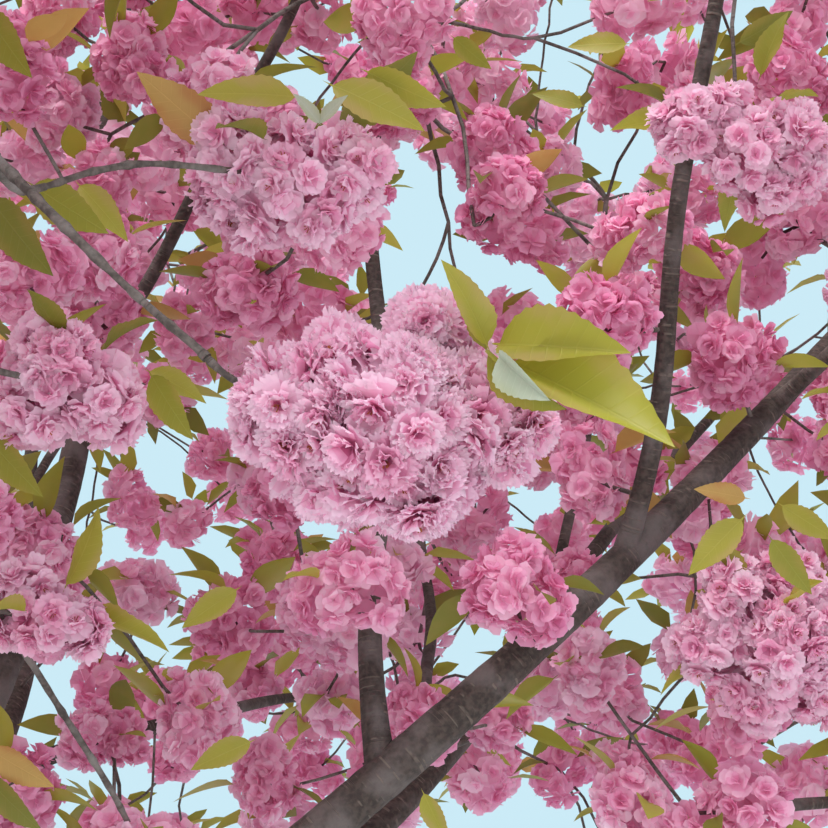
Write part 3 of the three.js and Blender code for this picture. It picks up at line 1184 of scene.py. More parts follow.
@dataclass(frozen=True)
class LeafFinish(Finish):
    """A young leaf of one tint, with paler veins and a warm edge where it is near."""

    name: str
    colour: Colour
    edge: Colour
    veined: bool
    through: float = 0.42
    roughness: float = 0.42
    side_veins: float = 9.0
    slant: float = 3.2
    relief: float = 0.0006
    bump: float = 0.6
    patch_scale: float = 22
    vein_width: float = 0.07
    vein_share: float = 0.5

    def surface(self, work: NodeWork, place: Wire) -> Any:
        """Tints the blade by soft noise, and near leaves by their veins and edges.

        Args:
            work: what adds the nodes.
            place: the object's coordinates.

        Returns:
            The shader.
        """
        patches = work.between(work.noise(place, self.patch_scale, 2), 0.35, 0.7)
        values: dict[str | int, Any] = {"Roughness": self.roughness}
        warm = patches * 0.6
        if self.veined:
            uv = work.wire("ShaderNodeUVMap", {"uv_map": "UVMap"})
            split = work.node("ShaderNodeSeparateXYZ", None, {0: uv})
            across = abs(Wire(work, split.outputs[0]) - 0.5)
            run = Wire(work, split.outputs[1]) * self.side_veins - across * self.slant
            comb = work.math("FRACT", run, 0.0)
            veins = 1 - work.between(abs(comb - 0.5), 0.0, self.vein_width)
            rib = 1 - work.between(across, 0.004, 0.022)
            ribs = work.math("MAXIMUM", veins * 0.55, rib)
            warm = work.between(across + patches * 0.25, 0.24, 0.62)
            values["Normal"] = work.wire(
                "ShaderNodeBump", None,
                {"Strength": self.bump, "Distance": self.relief, "Height": 1 - ribs}, "Normal",
            )
        colour = work.mix(warm, rgba(self.colour), rgba(self.edge))
        if self.veined:
            pale = tuple(min(1.0, 1.3 * c + 0.04) for c in self.colour)
            colour = work.mix(ribs * self.vein_share, colour, rgba(pale))
        values["Base Color"] = colour
        return work.thin(values, self.colour, self.through)


@dataclass(frozen=True)
class PlainFinish(Finish):
    """The pale floor."""

    name: str
    colour: Colour
    roughness: float = 0.9
    patch_scale: float = 1.5
    darkest: float = 0.94

    def surface(self, work: NodeWork, place: Wire) -> Any:
        """Uses the colour, slightly mottled.

        Args:
            work: what adds the nodes.
            place: the object's coordinates.

        Returns:
            The shader.
        """
        mottle = work.noise(place, self.patch_scale, 3)
        darker = tuple(self.darkest * c for c in self.colour)
        colour = work.mix(mottle, rgba(self.colour), rgba(darker))
        return work.wire(
            "ShaderNodeBsdfPrincipled", None,
            {"Base Color": colour, "Roughness": self.roughness},
        )


BARK = BarkFinish()
TWIG_BARK = BarkFinish(
    "twig_bark", (0.06, 0.045, 0.038), (0.15, 0.12, 0.105), (0.27, 0.24, 0.22), (0.07, 0.05, 0.04)
)
PETALS = (
    PetalFinish("petal_blush", (1.0, 0.80, 0.89), (0.99, 0.745, 0.855), (1.0, 0.665, 0.825)),
    PetalFinish("petal_pale", (0.98, 0.68, 0.81), (0.97, 0.615, 0.765), (1.0, 0.54, 0.735)),
    PetalFinish("petal_pink", (0.94, 0.565, 0.735), (0.92, 0.505, 0.69), (0.965, 0.435, 0.66)),
    PetalFinish("petal_warm", (0.885, 0.46, 0.65), (0.86, 0.405, 0.605), (0.92, 0.35, 0.575)),
    PetalFinish("petal_rose", (0.81, 0.35, 0.55), (0.77, 0.30, 0.50), (0.855, 0.26, 0.475)),
    PetalFinish("petal_deep", (0.71, 0.245, 0.435), (0.65, 0.205, 0.375), (0.76, 0.19, 0.38)),
    PetalFinish("petal_threads", (0.45, 0.21, 0.07), (0.36, 0.09, 0.05), (0.5, 0.2, 0.06)),
)
LEAF_COLOURS = (
    ("lime", (0.41, 0.385, 0.045), (0.49, 0.37, 0.11)),
    ("green", (0.31, 0.31, 0.034), (0.41, 0.32, 0.06)),
    ("olive", (0.21, 0.21, 0.026), (0.31, 0.23, 0.045)),
    ("bronze", (0.52, 0.33, 0.09), (0.46, 0.20, 0.06)),
    ("silver", (0.50, 0.56, 0.42), (0.46, 0.50, 0.29)),
)
LEAVES = tuple(LeafFinish(f"leaf_{n}", c, e, False) for n, c, e in LEAF_COLOURS)
NEAR_LEAVES = tuple(LeafFinish(f"near_leaf_{n}", c, e, True) for n, c, e in LEAF_COLOURS)


# Meshes


def add_object(name: str, data: bpy.types.ID) -> bpy.types.Object:
    """Puts a mesh, lamp or camera in the scene as an object at the origin.

    Args:
        name: the object's name.
        data: the mesh, lamp or camera.

    Returns:
        The object.
    """
    made = bpy.data.objects.new(name, data)
    bpy.context.scene.collection.objects.link(made)
    return made


def set_values(mesh: bpy.types.Mesh, name: str, kind: str, domain: str, values: Array) -> None:
    """Stores numbers or vectors on a mesh.

    Args:
        mesh: the mesh.
        name: the attribute's name.
        kind: its data type, such as FLOAT.
        domain: POINT, FACE or CORNER.
        values: one number or vector for each element.
    """
    layer = mesh.attributes.new(name, kind, domain)
    key = "vector" if kind in ("FLOAT_VECTOR", "FLOAT2") else "value"
    number = np.int32 if kind == "INT" else np.float32
    layer.data.foreach_set(key, np.asarray(values, number).ravel())


def start_tree(name: str, **kinds: str) -> tuple[NodeWork, bpy.types.Node]:
    """Starts a geometry tree.

    Args:
        name: its name.
        kinds: the type of each input apart from the geometry, by the input's name.

    Returns:
        What adds its nodes, and its input node.
    """
    tree = bpy.data.node_groups.new(name, "GeometryNodeTree")
    for key, kind in {"Geometry": "Geometry", **kinds}.items():
        tree.interface.new_socket(key, in_out="INPUT", socket_type=f"NodeSocket{kind}")
    tree.interface.new_socket("Geometry", in_out="OUTPUT", socket_type="NodeSocketGeometry")
    work = NodeWork(tree)
    return work, work.node("NodeGroupInput")


def run_tree(thing: bpy.types.Object, tree: bpy.types.NodeTree, name: str,
             values: dict[str, Any]) -> bpy.types.Object:
    """Runs a geometry tree on an object and turns the result into a plain mesh.

    Args:
        thing: the object that holds the lines or points, which is removed.
        tree: the geometry tree.
        name: the finished piece's name.
        values: the tree's inputs by name.

    Returns:
        The finished piece, with no modifier.
    """
    modifier = thing.modifiers.new("grow", "NODES")
    modifier.node_group = tree
    sockets = {s.name: s.identifier for s in tree.interface.items_tree if s.in_out == "INPUT"}
    for key, value in values.items():
        modifier[sockets[key]] = value
    bpy.context.view_layer.update()
    graph = bpy.context.evaluated_depsgraph_get()
    mesh = bpy.data.meshes.new_from_object(thing.evaluated_get(graph))
    bpy.data.objects.remove(thing)
    for layer in [a.name for a in mesh.attributes]:
        if layer in ("facing", "course", "width", "kind", "shade", "tone", "girth"):
            mesh.attributes.remove(mesh.attributes[layer])
    mesh.name = name
    return add_object(name, mesh)


@dataclass
class RodWork:
    """Makes round wood along lines, with the bark's relief."""

    finish: Finish
    tree: bpy.types.NodeTree | None = None
    # Lumps to the metre, and share of the relief
    knobs: tuple[float, float] = (5.5, 0.9)
    scurf: tuple[float, float] = (46, 0.35)
    rings: tuple[float, float] = (40.0, 0.3)

    def relief(self, work: NodeWork, geometry: Any, inputs: bpy.types.Node, girth: Wire) -> Any:
        """Moves bark in and out along its normal by knobs, scurf and rings.

        Args:
            work: the tree's helper.
            geometry: the mesh to move.
            inputs: the group's input node.
            girth: the wood's radius.

        Returns:
            The moved geometry's socket.
        """
        place = work.wire("GeometryNodeInputPosition")
        along = work.attribute("along", "FLOAT")
        knobs = work.noise(place, self.knobs[0], 2) - 0.5
        scurf = work.noise(place, self.scurf[0], 2) - 0.5
        rings = work.wire(
            "ShaderNodeTexNoise", {"noise_dimensions": "1D"}, {"W": along, "Scale": self.rings[0]}
        ) - 0.5
        lumps = knobs * self.knobs[1] + scurf * self.scurf[1] + rings * self.rings[1]
        depth = lumps * girth
        amount = depth * inputs.outputs["Relief"]
        normal = work.node("GeometryNodeInputNormal").outputs[0]
        shift = work.wire(
            "ShaderNodeVectorMath", {"operation": "SCALE"}, {0: normal, "Scale": amount}
        )
        return work.node(
            "GeometryNodeSetPosition", None, {"Geometry": geometry, "Offset": shift}
        ).outputs[0]

    def build(self) -> bpy.types.NodeTree:
        """Builds the tree: lines to curves, curves to round wood, relief and material.

        Returns:
            The tree.
        """
        work, inputs = start_tree("round_wood", Sides="Int", Relief="Float")
        curve = work.node("GeometryNodeMeshToCurve", None, {0: inputs.outputs["Geometry"]})
        length = work.node("GeometryNodeSplineParameter").outputs["Length"]
        kept = work.node(
            "GeometryNodeStoreNamedAttribute", {"data_type": "FLOAT"},
            {"Geometry": curve.outputs[0], "Name": "along", "Value": length},
        )
        girth = work.attribute("girth", "FLOAT")
        profile = work.node(
            "GeometryNodeCurvePrimitiveCircle", {"mode": "RADIUS"},
            {"Resolution": inputs.outputs["Sides"], "Radius": 1.0},
        )
        body = work.node("GeometryNodeCurveToMesh", None, {
            "Curve": kept.outputs[0],
            "Profile Curve": profile.outputs[0],
            "Scale": girth,
            "Fill Caps": True,
        })
        moved = self.relief(work, body.outputs[0], inputs, girth)
        whole = work.node("GeometryNodeRealizeInstances", None, {"Geometry": moved})
        smooth = work.node("GeometryNodeSetShadeSmooth", None, {0: whole.outputs[0]})
        last = work.node("GeometryNodeSetMaterial", None, {
            "Geometry": smooth.outputs[0], "Material": self.finish.material(),
        })
        work.node("NodeGroupOutput", None, {0: last.outputs[0]})
        return work.tree

    def make(self, name: str, rods: Sequence[tuple[Array, Array]], sides: int,
             relief: float) -> bpy.types.Object:
        """Makes one piece of round wood.

        Args:
            name: the piece's name.
            rods: the line and the radii of each stretch.
            sides: how many sides the wood has.
            relief: the depth of its relief as a share of its radius.

        Returns:
            The piece.
        """
        if self.tree is None:
            self.tree = self.build()
        counts = [len(line) for line, _ in rods]
        starts = np.cumsum([0, *counts[:-1]])
        edges = np.vstack([
            np.stack([np.arange(n - 1), np.arange(1, n)], 1) + s for s, n in zip(starts, counts)
        ])
        mesh = bpy.data.meshes.new(name + "_lines")
        mesh.from_pydata(np.vstack([line for line, _ in rods]).tolist(), edges.tolist(), [])
        set_values(mesh, "girth", "FLOAT", "POINT", np.concatenate([r for _, r in rods]))
        lines = add_object(name + "_lines", mesh)
        return run_tree(lines, self.tree, name, {"Sides": sides, "Relief": relief})


@dataclass
class Trunk:
    """The trunk, from its flat foot with five root buttresses to its dome in the fork."""

    top: float = 1.64
    radius: float = 0.106
    taper: float = 0.008
    bow: float = 0.04
    flare_radius: float = 0.092
    flare_height: float = 0.125
    buttresses: int = 5
    buttress_depth: float = 0.2
    swell_start: float = 1.0
    fork_swell: float = 0.016
    dome_start: float = 1.5
    dome_flatness: float = 0.9
    sides: int = 120
    rings: int = 210
    furrow: float = 0.0035
    smooth_foot: float = 0.02
    crowding: float = 1.15

    def radii(self, height: Array, angle: Array) -> Array:
        """Works out the trunk's radius.

        Args:
            height: heights over the foot.
            angle: angles round it, in radians.

        Returns:
            The radius at each.
        """
        flare = np.exp(-height / self.flare_height)
        root = 1 + self.buttress_depth * np.cos(self.buttresses * angle) * np.sqrt(flare)
        rise = (height - self.swell_start) / (self.dome_start - self.swell_start)
        over = np.maximum(0, (height - self.dome_start) / (self.top - self.dome_start))
        dome = np.sqrt(1 - self.dome_flatness * over**2)
        stem = self.radius - self.taper * height / self.top
        swell = self.fork_swell * np.maximum(0, rise)
        return (stem + self.flare_radius * flare + swell) * root * dome

    def relief(self, height: Array, angle: Array) -> Array:
        """Works out the bark's relief: bands round the trunk and shallow hollows.

        Args:
            height: heights over the foot.
            angle: angles round it, in radians.

        Returns:
            How far the bark stands out at each.
        """
        bands = np.sin(height * 95 + 1.3 * np.sin(2 * angle + 3 * height))
        bands += 0.6 * np.sin(height * 231 + 2 * np.sin(3 * angle) + 1)
        ribs = np.sin(7 * angle + 4 * np.sin(2.2 * height)) * np.sin(5 * height + 1)
        hollows = np.sin(3 * angle + 2 * height) * np.sin(9 * height + 2 * angle)
        fade = np.clip(height / self.smooth_foot, 0, 1)
        return self.furrow * fade * (0.35 * bands + 0.7 * ribs + 1.1 * hollows)

    def make(self) -> bpy.types.Object:
        """Makes the trunk as one closed mesh.

        Returns:
            The piece.
        """
        height = self.top * np.linspace(0, 1, self.rings) ** self.crowding
        angle = np.linspace(0, 2 * math.pi, self.sides, endpoint=False)
        h, a = np.meshgrid(height, angle, indexing="ij")
        out = self.radii(h, a) + self.relief(h, a)
        bow = self.bow * np.sin(math.pi * h / self.top)
        ring = np.stack([np.cos(a) * out + bow, np.sin(a) * out, h], 2).reshape(-1, 3)
        ends = np.array([[0, 0, 0], [0, 0, self.top]])
        corners = np.vstack([ring, ends])
        low, high = len(ring), len(ring) + 1
        step = np.arange(self.sides)
        ahead = (step + 1) % self.sides
        faces: list[Sequence[int]] = []
        for k in range(self.rings - 1):
            r = k * self.sides
            wall = np.stack([r + step, r + ahead, r + self.sides + ahead, r + self.sides + step])
            faces += wall.T.tolist()
        last = (self.rings - 1) * self.sides
        faces += np.stack([np.full(self.sides, low), ahead, step], 1).tolist()
        faces += np.stack([np.full(self.sides, high), last + step, last + ahead], 1).tolist()
        mesh = bpy.data.meshes.new("trunk_bark")
        mesh.from_pydata(corners.tolist(), [], faces)
        set_values(mesh, "along", "FLOAT", "POINT", corners[:, 2])
        mesh.materials.append(BARK.material())
        mesh.shade_smooth()
        return add_object("trunk_bark", mesh)


@dataclass
class BoughWood:
    """The bark of one bough and its side limbs."""

    rods: RodWork
    near_step: float = 0.008
    far_step: float = 0.02
    near_sides: int = 26
    far_sides: int = 14
    collar: float = 0.3
    collar_reach: float = 0.05
    relief: float = 0.16

    def rod(self, limb: Limb, step: float) -> tuple[Array, Array]:
        """Draws a limb as a smooth line.

        Args:
            limb: the limb.
            step: how far its points are apart.

        Returns:
            The line and its radii.
        """
        length = lengths(np.diff(limb.points, axis=0)).sum()
        line = through(limb.points, max(2, round(length / step / STATIONS)))
        share = np.linspace(0, 1, len(line))
        taper = limb.base + (limb.tip - limb.base) * share
        return line, taper * (1 + self.collar * np.exp(-share / self.collar_reach))

    def make(self, bough: str, limbs: Sequence[Limb], near: bool) -> bpy.types.Object:
        """Makes the wood of one bough.

        Args:
            bough: its name.
            limbs: the bough and its side limbs.
            near: whether it is close to the eye.

        Returns:
            The piece.
        """
        step = self.near_step if near else self.far_step
        sides = self.near_sides if near else self.far_sides
        wood = [self.rod(limb, step) for limb in limbs]
        return self.rods.make(f"bark_{bough}", wood, sides, self.relief)


# Blossom


@dataclass
class Sheet:
    """A small mesh of thin blades under way: its corners, faces, tones and places on them."""

    corners: list[Array] = field(default_factory=list)
    faces: list[tuple[int, ...]] = field(default_factory=list)
    tones: list[int] = field(default_factory=list)
    places: list[Array] = field(default_factory=list)

    def strip(self, first: Sequence[int], second: Sequence[int], tone: int) -> None:
        """Fills the strip between two rows of corners with triangles.

        Args:
            first: the corners of one row.
            second: those of the next.
            tone: the strip's tone.
        """
        i, j = 0, 0
        while i < len(first) - 1 or j < len(second) - 1:
            ahead = (i + 1) / max(1, len(first) - 1)
            beside = (j + 1) / max(1, len(second) - 1)
            if j == len(second) - 1 or (i < len(first) - 1 and ahead <= beside):
                self.faces.append((first[i], first[i + 1], second[j]))
                i += 1
            else:
                self.faces.append((first[i], second[j + 1], second[j]))
                j += 1
            self.tones.append(tone)

    def blade(self, rows: Sequence[Array], places: Sequence[Array], tone: int,
              fades: Sequence[int] = ()) -> None:
        """Adds one blade.

        Args:
            rows: its corners, row after row from the root.
            places: their places in the blade's outline.
            tone: its tone.
            fades: how much deeper each strip between two rows is.
        """
        last: list[int] = []
        for k, (row, place) in enumerate(zip(rows, places)):
            start = len(self.corners)
            self.corners += list(row)
            self.places += list(place)
            now = list(range(start, start + len(row)))
            if last:
                self.strip(last, now, tone + (fades[k - 1] if fades else 0))
            last = now

    def make(self, name: str) -> bpy.types.Object:
        """Makes the object, whose faces keep their tone and whose corners keep their place.

        Args:
            name: its name.

        Returns:
            The object, which isn't in the scene yet.
        """
        mesh = bpy.data.meshes.new(name)
        mesh.from_pydata([tuple(c) for c in self.corners], [], self.faces)
        set_values(mesh, "tone", "INT", "FACE", np.array(self.tones))
        corner = np.array([i for face in self.faces for i in face])
        uv = mesh.uv_layers.new(name="UVMap")
        uv.data.foreach_set("uv", np.array(self.places)[corner].astype(np.float32).ravel())
        return bpy.data.objects.new(name, mesh)


@dataclass(frozen=True)
class Whorl:
    """One ring of petals: how many, their length and width, pitch in degrees and tone."""

    petals: int
    length: float
    width: float
    rise: float
    tone: Tone = Tone.PALE


# Rows of a petal's outline as (across, along), both as shares of its width and length
FRINGED = (
    ((-0.1, 0), (0.1, 0)),
    ((-0.36, 0.34), (0, 0.33), (0.36, 0.34)),
    ((-0.51, 0.66), (-0.26, 0.7), (0, 0.69), (0.26, 0.7), (0.51, 0.66)),
    (
        (-0.55, 0.83), (-0.45, 0.93), (-0.36, 0.86), (-0.22, 0.98), (-0.11, 0.89), (0.03, 1),
        (0.13, 0.89), (0.26, 0.99), (0.37, 0.87), (0.45, 0.94), (0.54, 0.82),
    ),
)
TOOTHED = (
    ((-0.12, 0), (0.12, 0)),
    ((-0.48, 0.52), (0, 0.5), (0.48, 0.52)),
    ((-0.53, 0.82), (-0.37, 0.94), (-0.18, 0.9), (0.02, 1), (0.2, 0.9), (0.38, 0.95), (0.52, 0.8)),
)
ROUNDED = (
    ((0, 0),),
    ((-0.47, 0.58), (0.47, 0.58)),
    ((-0.4, 0.88), (-0.04, 1), (0.38, 0.9)),
)
SIMPLE = (
    ((0, 0),),
    ((-0.5, 0.74), (0.05, 1), (0.5, 0.78)),
)
# How much deeper each strip between two rows is than its petal's tone; the deeper root is partly
# the petals' own colour and partly painted shade in the flower's heart
FADES = {FRINGED: (3, 0, -1), TOOTHED: (1, -1), ROUNDED: (1, 0), SIMPLE: (0,)}


@dataclass(frozen=True)
class FlowerForm:
    """A double flower, one unit across, its axis along +Z."""

    outline: Outline
    whorls: tuple[Whorl, ...]
    seed: int
    threads: int = 0
    curl: float = 0.06
    curl_spread: float = 0.14
    hollow: float = 0.3
    ruffle: float = 0.055
    stack: float = 0.03
    unevenness: float = 15
    hollow_spread: float = 0.2
    twist: float = 0.22
    heart: float = 0.02
    petal_lengths: tuple[float, float] = (0.86, 1.06)
    petal_widths: tuple[float, float] = (0.88, 1.12)
    rim_share: float = 0.6
    raggedness: float = 0.015
    crowdedness: float = 0.16
    thread_leans: tuple[float, float] = (0.02, 0.09)
    thread_lengths: tuple[float, float] = (0.13, 0.19)
    thread_width: float = 0.014

    def petal(self, sheet: Sheet, whorl: Whorl, azimuth: float, level: float,
              random: np.random.Generator) -> None:
        """Adds one petal.

        Args:
            sheet: the flower under way.
            whorl: the ring that the petal is in.
            azimuth: where it points, in radians.
            level: how high its root is.
            random: the flower's own stream.
        """
        pitch = math.radians(whorl.rise + random.normal(0, self.unevenness))
        length = whorl.length * random.uniform(*self.petal_lengths)
        curl = random.normal(self.curl, self.curl_spread)
        hollow = random.normal(self.hollow, self.hollow_spread)
        wide = whorl.width * random.uniform(*self.petal_widths)
        c, s = math.cos(pitch), math.sin(pitch)
        ca, sa = math.cos(azimuth), math.sin(azimuth)
        twist = random.normal(0, self.twist)
        rows, places = [], []
        for row in self.outline:
            across, along = np.array(row, float).T
            y = across * wide
            lift = curl * along**2 * length + hollow * across**2 * along * wide
            ruffle = random.normal(0, self.ruffle, len(across))
            lift = lift + ruffle * along**2 * self.rim_share
            lift += twist * across * along * wide
            reach = along * length * (1 + random.normal(0, self.raggedness, len(across)))
            r = self.heart + reach * c - lift * s
            z = level + reach * s + lift * c
            rows.append(np.stack([r * ca - y * sa, r * sa + y * ca, z], 1))
            places.append(np.stack([across + 0.5, along], 1))
        deeper = int(random.integers(0, 2)) if self.outline is FRINGED else 0
        fades = [fade + deeper * int(fade >= 0) for fade in FADES[self.outline]]
        sheet.blade(rows, places, int(whorl.tone), fades)

    def make(self, name: str) -> bpy.types.Object:
        """Makes the flower.

        Args:
            name: its name.

        Returns:
            The flower, which isn't in the scene yet.
        """
        random = np.random.default_rng(self.seed)
        sheet = Sheet()
        for k, whorl in enumerate(self.whorls):
            start = random.uniform(0, 2 * math.pi)
            for i in range(whorl.petals):
                place = i + random.normal(0, self.crowdedness)
                azimuth = start + 2 * math.pi * place / whorl.petals
                self.petal(sheet, whorl, azimuth, self.stack * k, random)
        self.add_threads(sheet, random)
        return sheet.make(name)

    def add_threads(self, sheet: Sheet, random: np.random.Generator) -> None:
        """Adds the threads in its midst, each a thin blade.

        Args:
            sheet: the flower under way.
            random: the flower's own stream.
        """
        for i in range(self.threads):
            a = 2 * math.pi * i / self.threads
            lean = random.uniform(*self.thread_leans)
            top = self.stack * len(self.whorls) + random.uniform(*self.thread_lengths)
            tip = np.array([lean * math.cos(a), lean * math.sin(a), top])
            side = self.thread_width * np.array([-math.sin(a), math.cos(a), 0])
            root = np.array([0, 0, self.stack * 2])
            sheet.blade([np.array([root]), np.array([tip - side, tip + side])],
                        [np.array([[0.5, 0]]), np.array([[0, 1], [1, 1]])], int(Tone.THREAD))


OPEN_NEAREST = (
    Whorl(8, 0.5, 0.38, -2),
    Whorl(8, 0.47, 0.35, 14),
    Whorl(8, 0.42, 0.31, 28),
    Whorl(6, 0.35, 0.26, 44),
    Whorl(5, 0.26, 0.19, 60, Tone.PINK),
)
FANNED = (
    Whorl(9, 0.55, 0.42, -14),
    Whorl(8, 0.5, 0.37, 5),
    Whorl(7, 0.41, 0.31, 24),
    Whorl(6, 0.29, 0.22, 47, Tone.PINK),
)
OPEN_NEAR = (
    Whorl(7, 0.5, 0.42, 2),
    Whorl(7, 0.46, 0.36, 20),
    Whorl(6, 0.39, 0.31, 39),
    Whorl(4, 0.28, 0.22, 60, Tone.PINK),
)
HALF_OPEN = (
    Whorl(7, 0.46, 0.4, 26),
    Whorl(6, 0.43, 0.35, 44),
    Whorl(4, 0.36, 0.28, 64, Tone.PINK),
)
OPEN_SEEN = (
    Whorl(7, 0.5, 0.44, 4),
    Whorl(6, 0.44, 0.37, 28),
    Whorl(4, 0.34, 0.29, 54, Tone.PINK),
)
OPEN_FAR = (
    Whorl(6, 0.5, 0.52, 6),
    Whorl(5, 0.42, 0.45, 37),
    Whorl(2, 0.3, 0.36, 60, Tone.PINK),
)
BUD = (
    Whorl(3, 0.42, 0.3, 80, Tone.ROSE),
    Whorl(3, 0.5, 0.26, 86, Tone.WARM),
)
FLOWER_FORMS = (
    FlowerForm(FRINGED, OPEN_NEAREST, 1, 7),
    FlowerForm(FRINGED, OPEN_NEAREST, 2),
    FlowerForm(FRINGED, FANNED, 3, 9),
    FlowerForm(FRINGED, HALF_OPEN, 4),
    FlowerForm(TOOTHED, OPEN_NEAR, 5, 6),
    FlowerForm(TOOTHED, OPEN_NEAR, 6),
    FlowerForm(TOOTHED, HALF_OPEN, 7),
    FlowerForm(ROUNDED, OPEN_SEEN, 8),
    FlowerForm(ROUNDED, OPEN_SEEN, 9),
    FlowerForm(ROUNDED, HALF_OPEN, 10),
    FlowerForm(ROUNDED, BUD, 11),
    FlowerForm(SIMPLE, OPEN_FAR, 12),
    FlowerForm(SIMPLE, OPEN_FAR, 13),
)
# Which of those each detail uses, and how often
FORM_SHARES = {
    Detail.NEAREST: ((0, 0.32), (1, 0.2), (2, 0.3), (3, 0.18)),
    Detail.NEAR: ((4, 0.4), (5, 0.4), (6, 0.2)),
    Detail.SEEN: ((7, 0.4), (8, 0.37), (9, 0.2), (10, 0.03)),
    Detail.FAR: ((11, 0.5), (12, 0.5)),
}


@dataclass(frozen=True)
class LeafForm:
    """A leaf, one unit long along +X, folded along its rib and arched."""

    stations: int
    width: float = 0.44
    fold: float = 22
    arch: float = 0.16
    teeth: float = 0.0
    wave: float = 0.0
    stalk: float = 0.12
    least_half: float = 0.012

    def make(self, name: str) -> bpy.types.Object:
        """Makes the leaf from rows across its blade.

        Args:
            name: its name.

        Returns:
            The leaf, which isn't in the scene yet.
        """
        sheet = Sheet()
        shares = np.linspace(0, 1, self.stations)
        rows, places = [], []
        rows.append(np.array([[-self.stalk, 0, 0.02]]))
        places.append(np.array([[0.5, 0]]))
        for k, s in enumerate(shares):
            half = 0.5 * self.width * math.sin(math.pi * s**0.78) ** 0.85 * (1 - 0.25 * s**3)
            half = max(half, self.least_half) * (1 + self.teeth * (1 if k % 2 else -1))
            high = half * math.tan(math.radians(self.fold))
            z = -self.arch * s**2 + self.arch * 0.3 * s
            curl = self.wave * math.sin(9 * s) * half
            if k == self.stations - 1:
                rows.append(np.array([[s, 0, z]]))
                places.append(np.array([[0.5, 1]]))
                continue
            rows.append(np.array([[s, -half, z + high + curl], [s, 0, z], [s, half, z + high]]))
            edge = 0.5 * half / (0.5 * self.width)
            places.append(np.array([[0.5 - edge, s], [0.5, s], [0.5 + edge, s]]))
        sheet.blade(rows, places, 0)
        return sheet.make(name)


LEAF_FORMS = (
    LeafForm(22, 0.44, 14, 0.14, 0.04, 0.1),
    LeafForm(22, 0.42, 26, 0.26, 0.04, 0.2),
    LeafForm(22, 0.4, 40, 0.08, 0.04, 0.1),
    LeafForm(7, 0.48, 14, 0.16),
    LeafForm(7, 0.42, 30, 0.28),
    LeafForm(4, 0.5, 14, 0.16),
    LeafForm(4, 0.44, 28, 0.28),
)
# Which of those each detail uses, and how often; the nearest spray's leaves are placed one by one
LEAF_SHARES = {
    Detail.NEAR: ((0, 0.4), (1, 0.35), (2, 0.25)),
    Detail.SEEN: ((3, 0.55), (4, 0.45)),
    Detail.FAR: ((5, 0.55), (6, 0.45)),
}


@dataclass(frozen=True)
class Room:
    """The room that the dressed tree keeps to, a little more than its solids fill."""

    low: Array
    high: Array
    share: float = 0.022

    def holds(self, points: Array, reach: float | Array) -> Array:
        """Says which forms the room holds.

        Args:
            points: where they are.
            reach: how far they reach from there.

        Returns:
            Whether it holds each.
        """
        extra = (self.high - self.low) * self.share
        span = np.reshape(reach, (-1, 1))
        inside = (points - span > self.low - extra) & (points + span < self.high + extra)
        return inside.all(1)


@dataclass
class Points:
    """Places where small forms are set, and what each form there is like."""

    VALUES: ClassVar[tuple[tuple[str, str], ...]] = (
        ("facing", "FLOAT_VECTOR"), ("course", "FLOAT_VECTOR"), ("width", "FLOAT"),
        ("kind", "INT"), ("shade", "INT"),
    )
    rows: list[tuple[Array, ...]] = field(default_factory=list)

    def add(self, place: Array, facing: Array, course: Array, width: Array, kind: Array,
            shade: Array) -> None:
        """Adds places, with the axes, courses, widths, kinds and shades of the forms there."""
        self.rows.append((place, facing, course, width, kind, shade))

    def make(self, name: str) -> bpy.types.Object:
        """Makes an object of bare points that keep what is said of each.

        Args:
            name: its name.

        Returns:
            The object.
        """
        places, *values = (np.concatenate(column) for column in zip(*self.rows))
        mesh = bpy.data.meshes.new(name)
        mesh.from_pydata(places.tolist(), [], [])
        for (key, kind), column in zip(self.VALUES, values):
            set_values(mesh, key, kind, "POINT", column)
        return add_object(name, mesh)


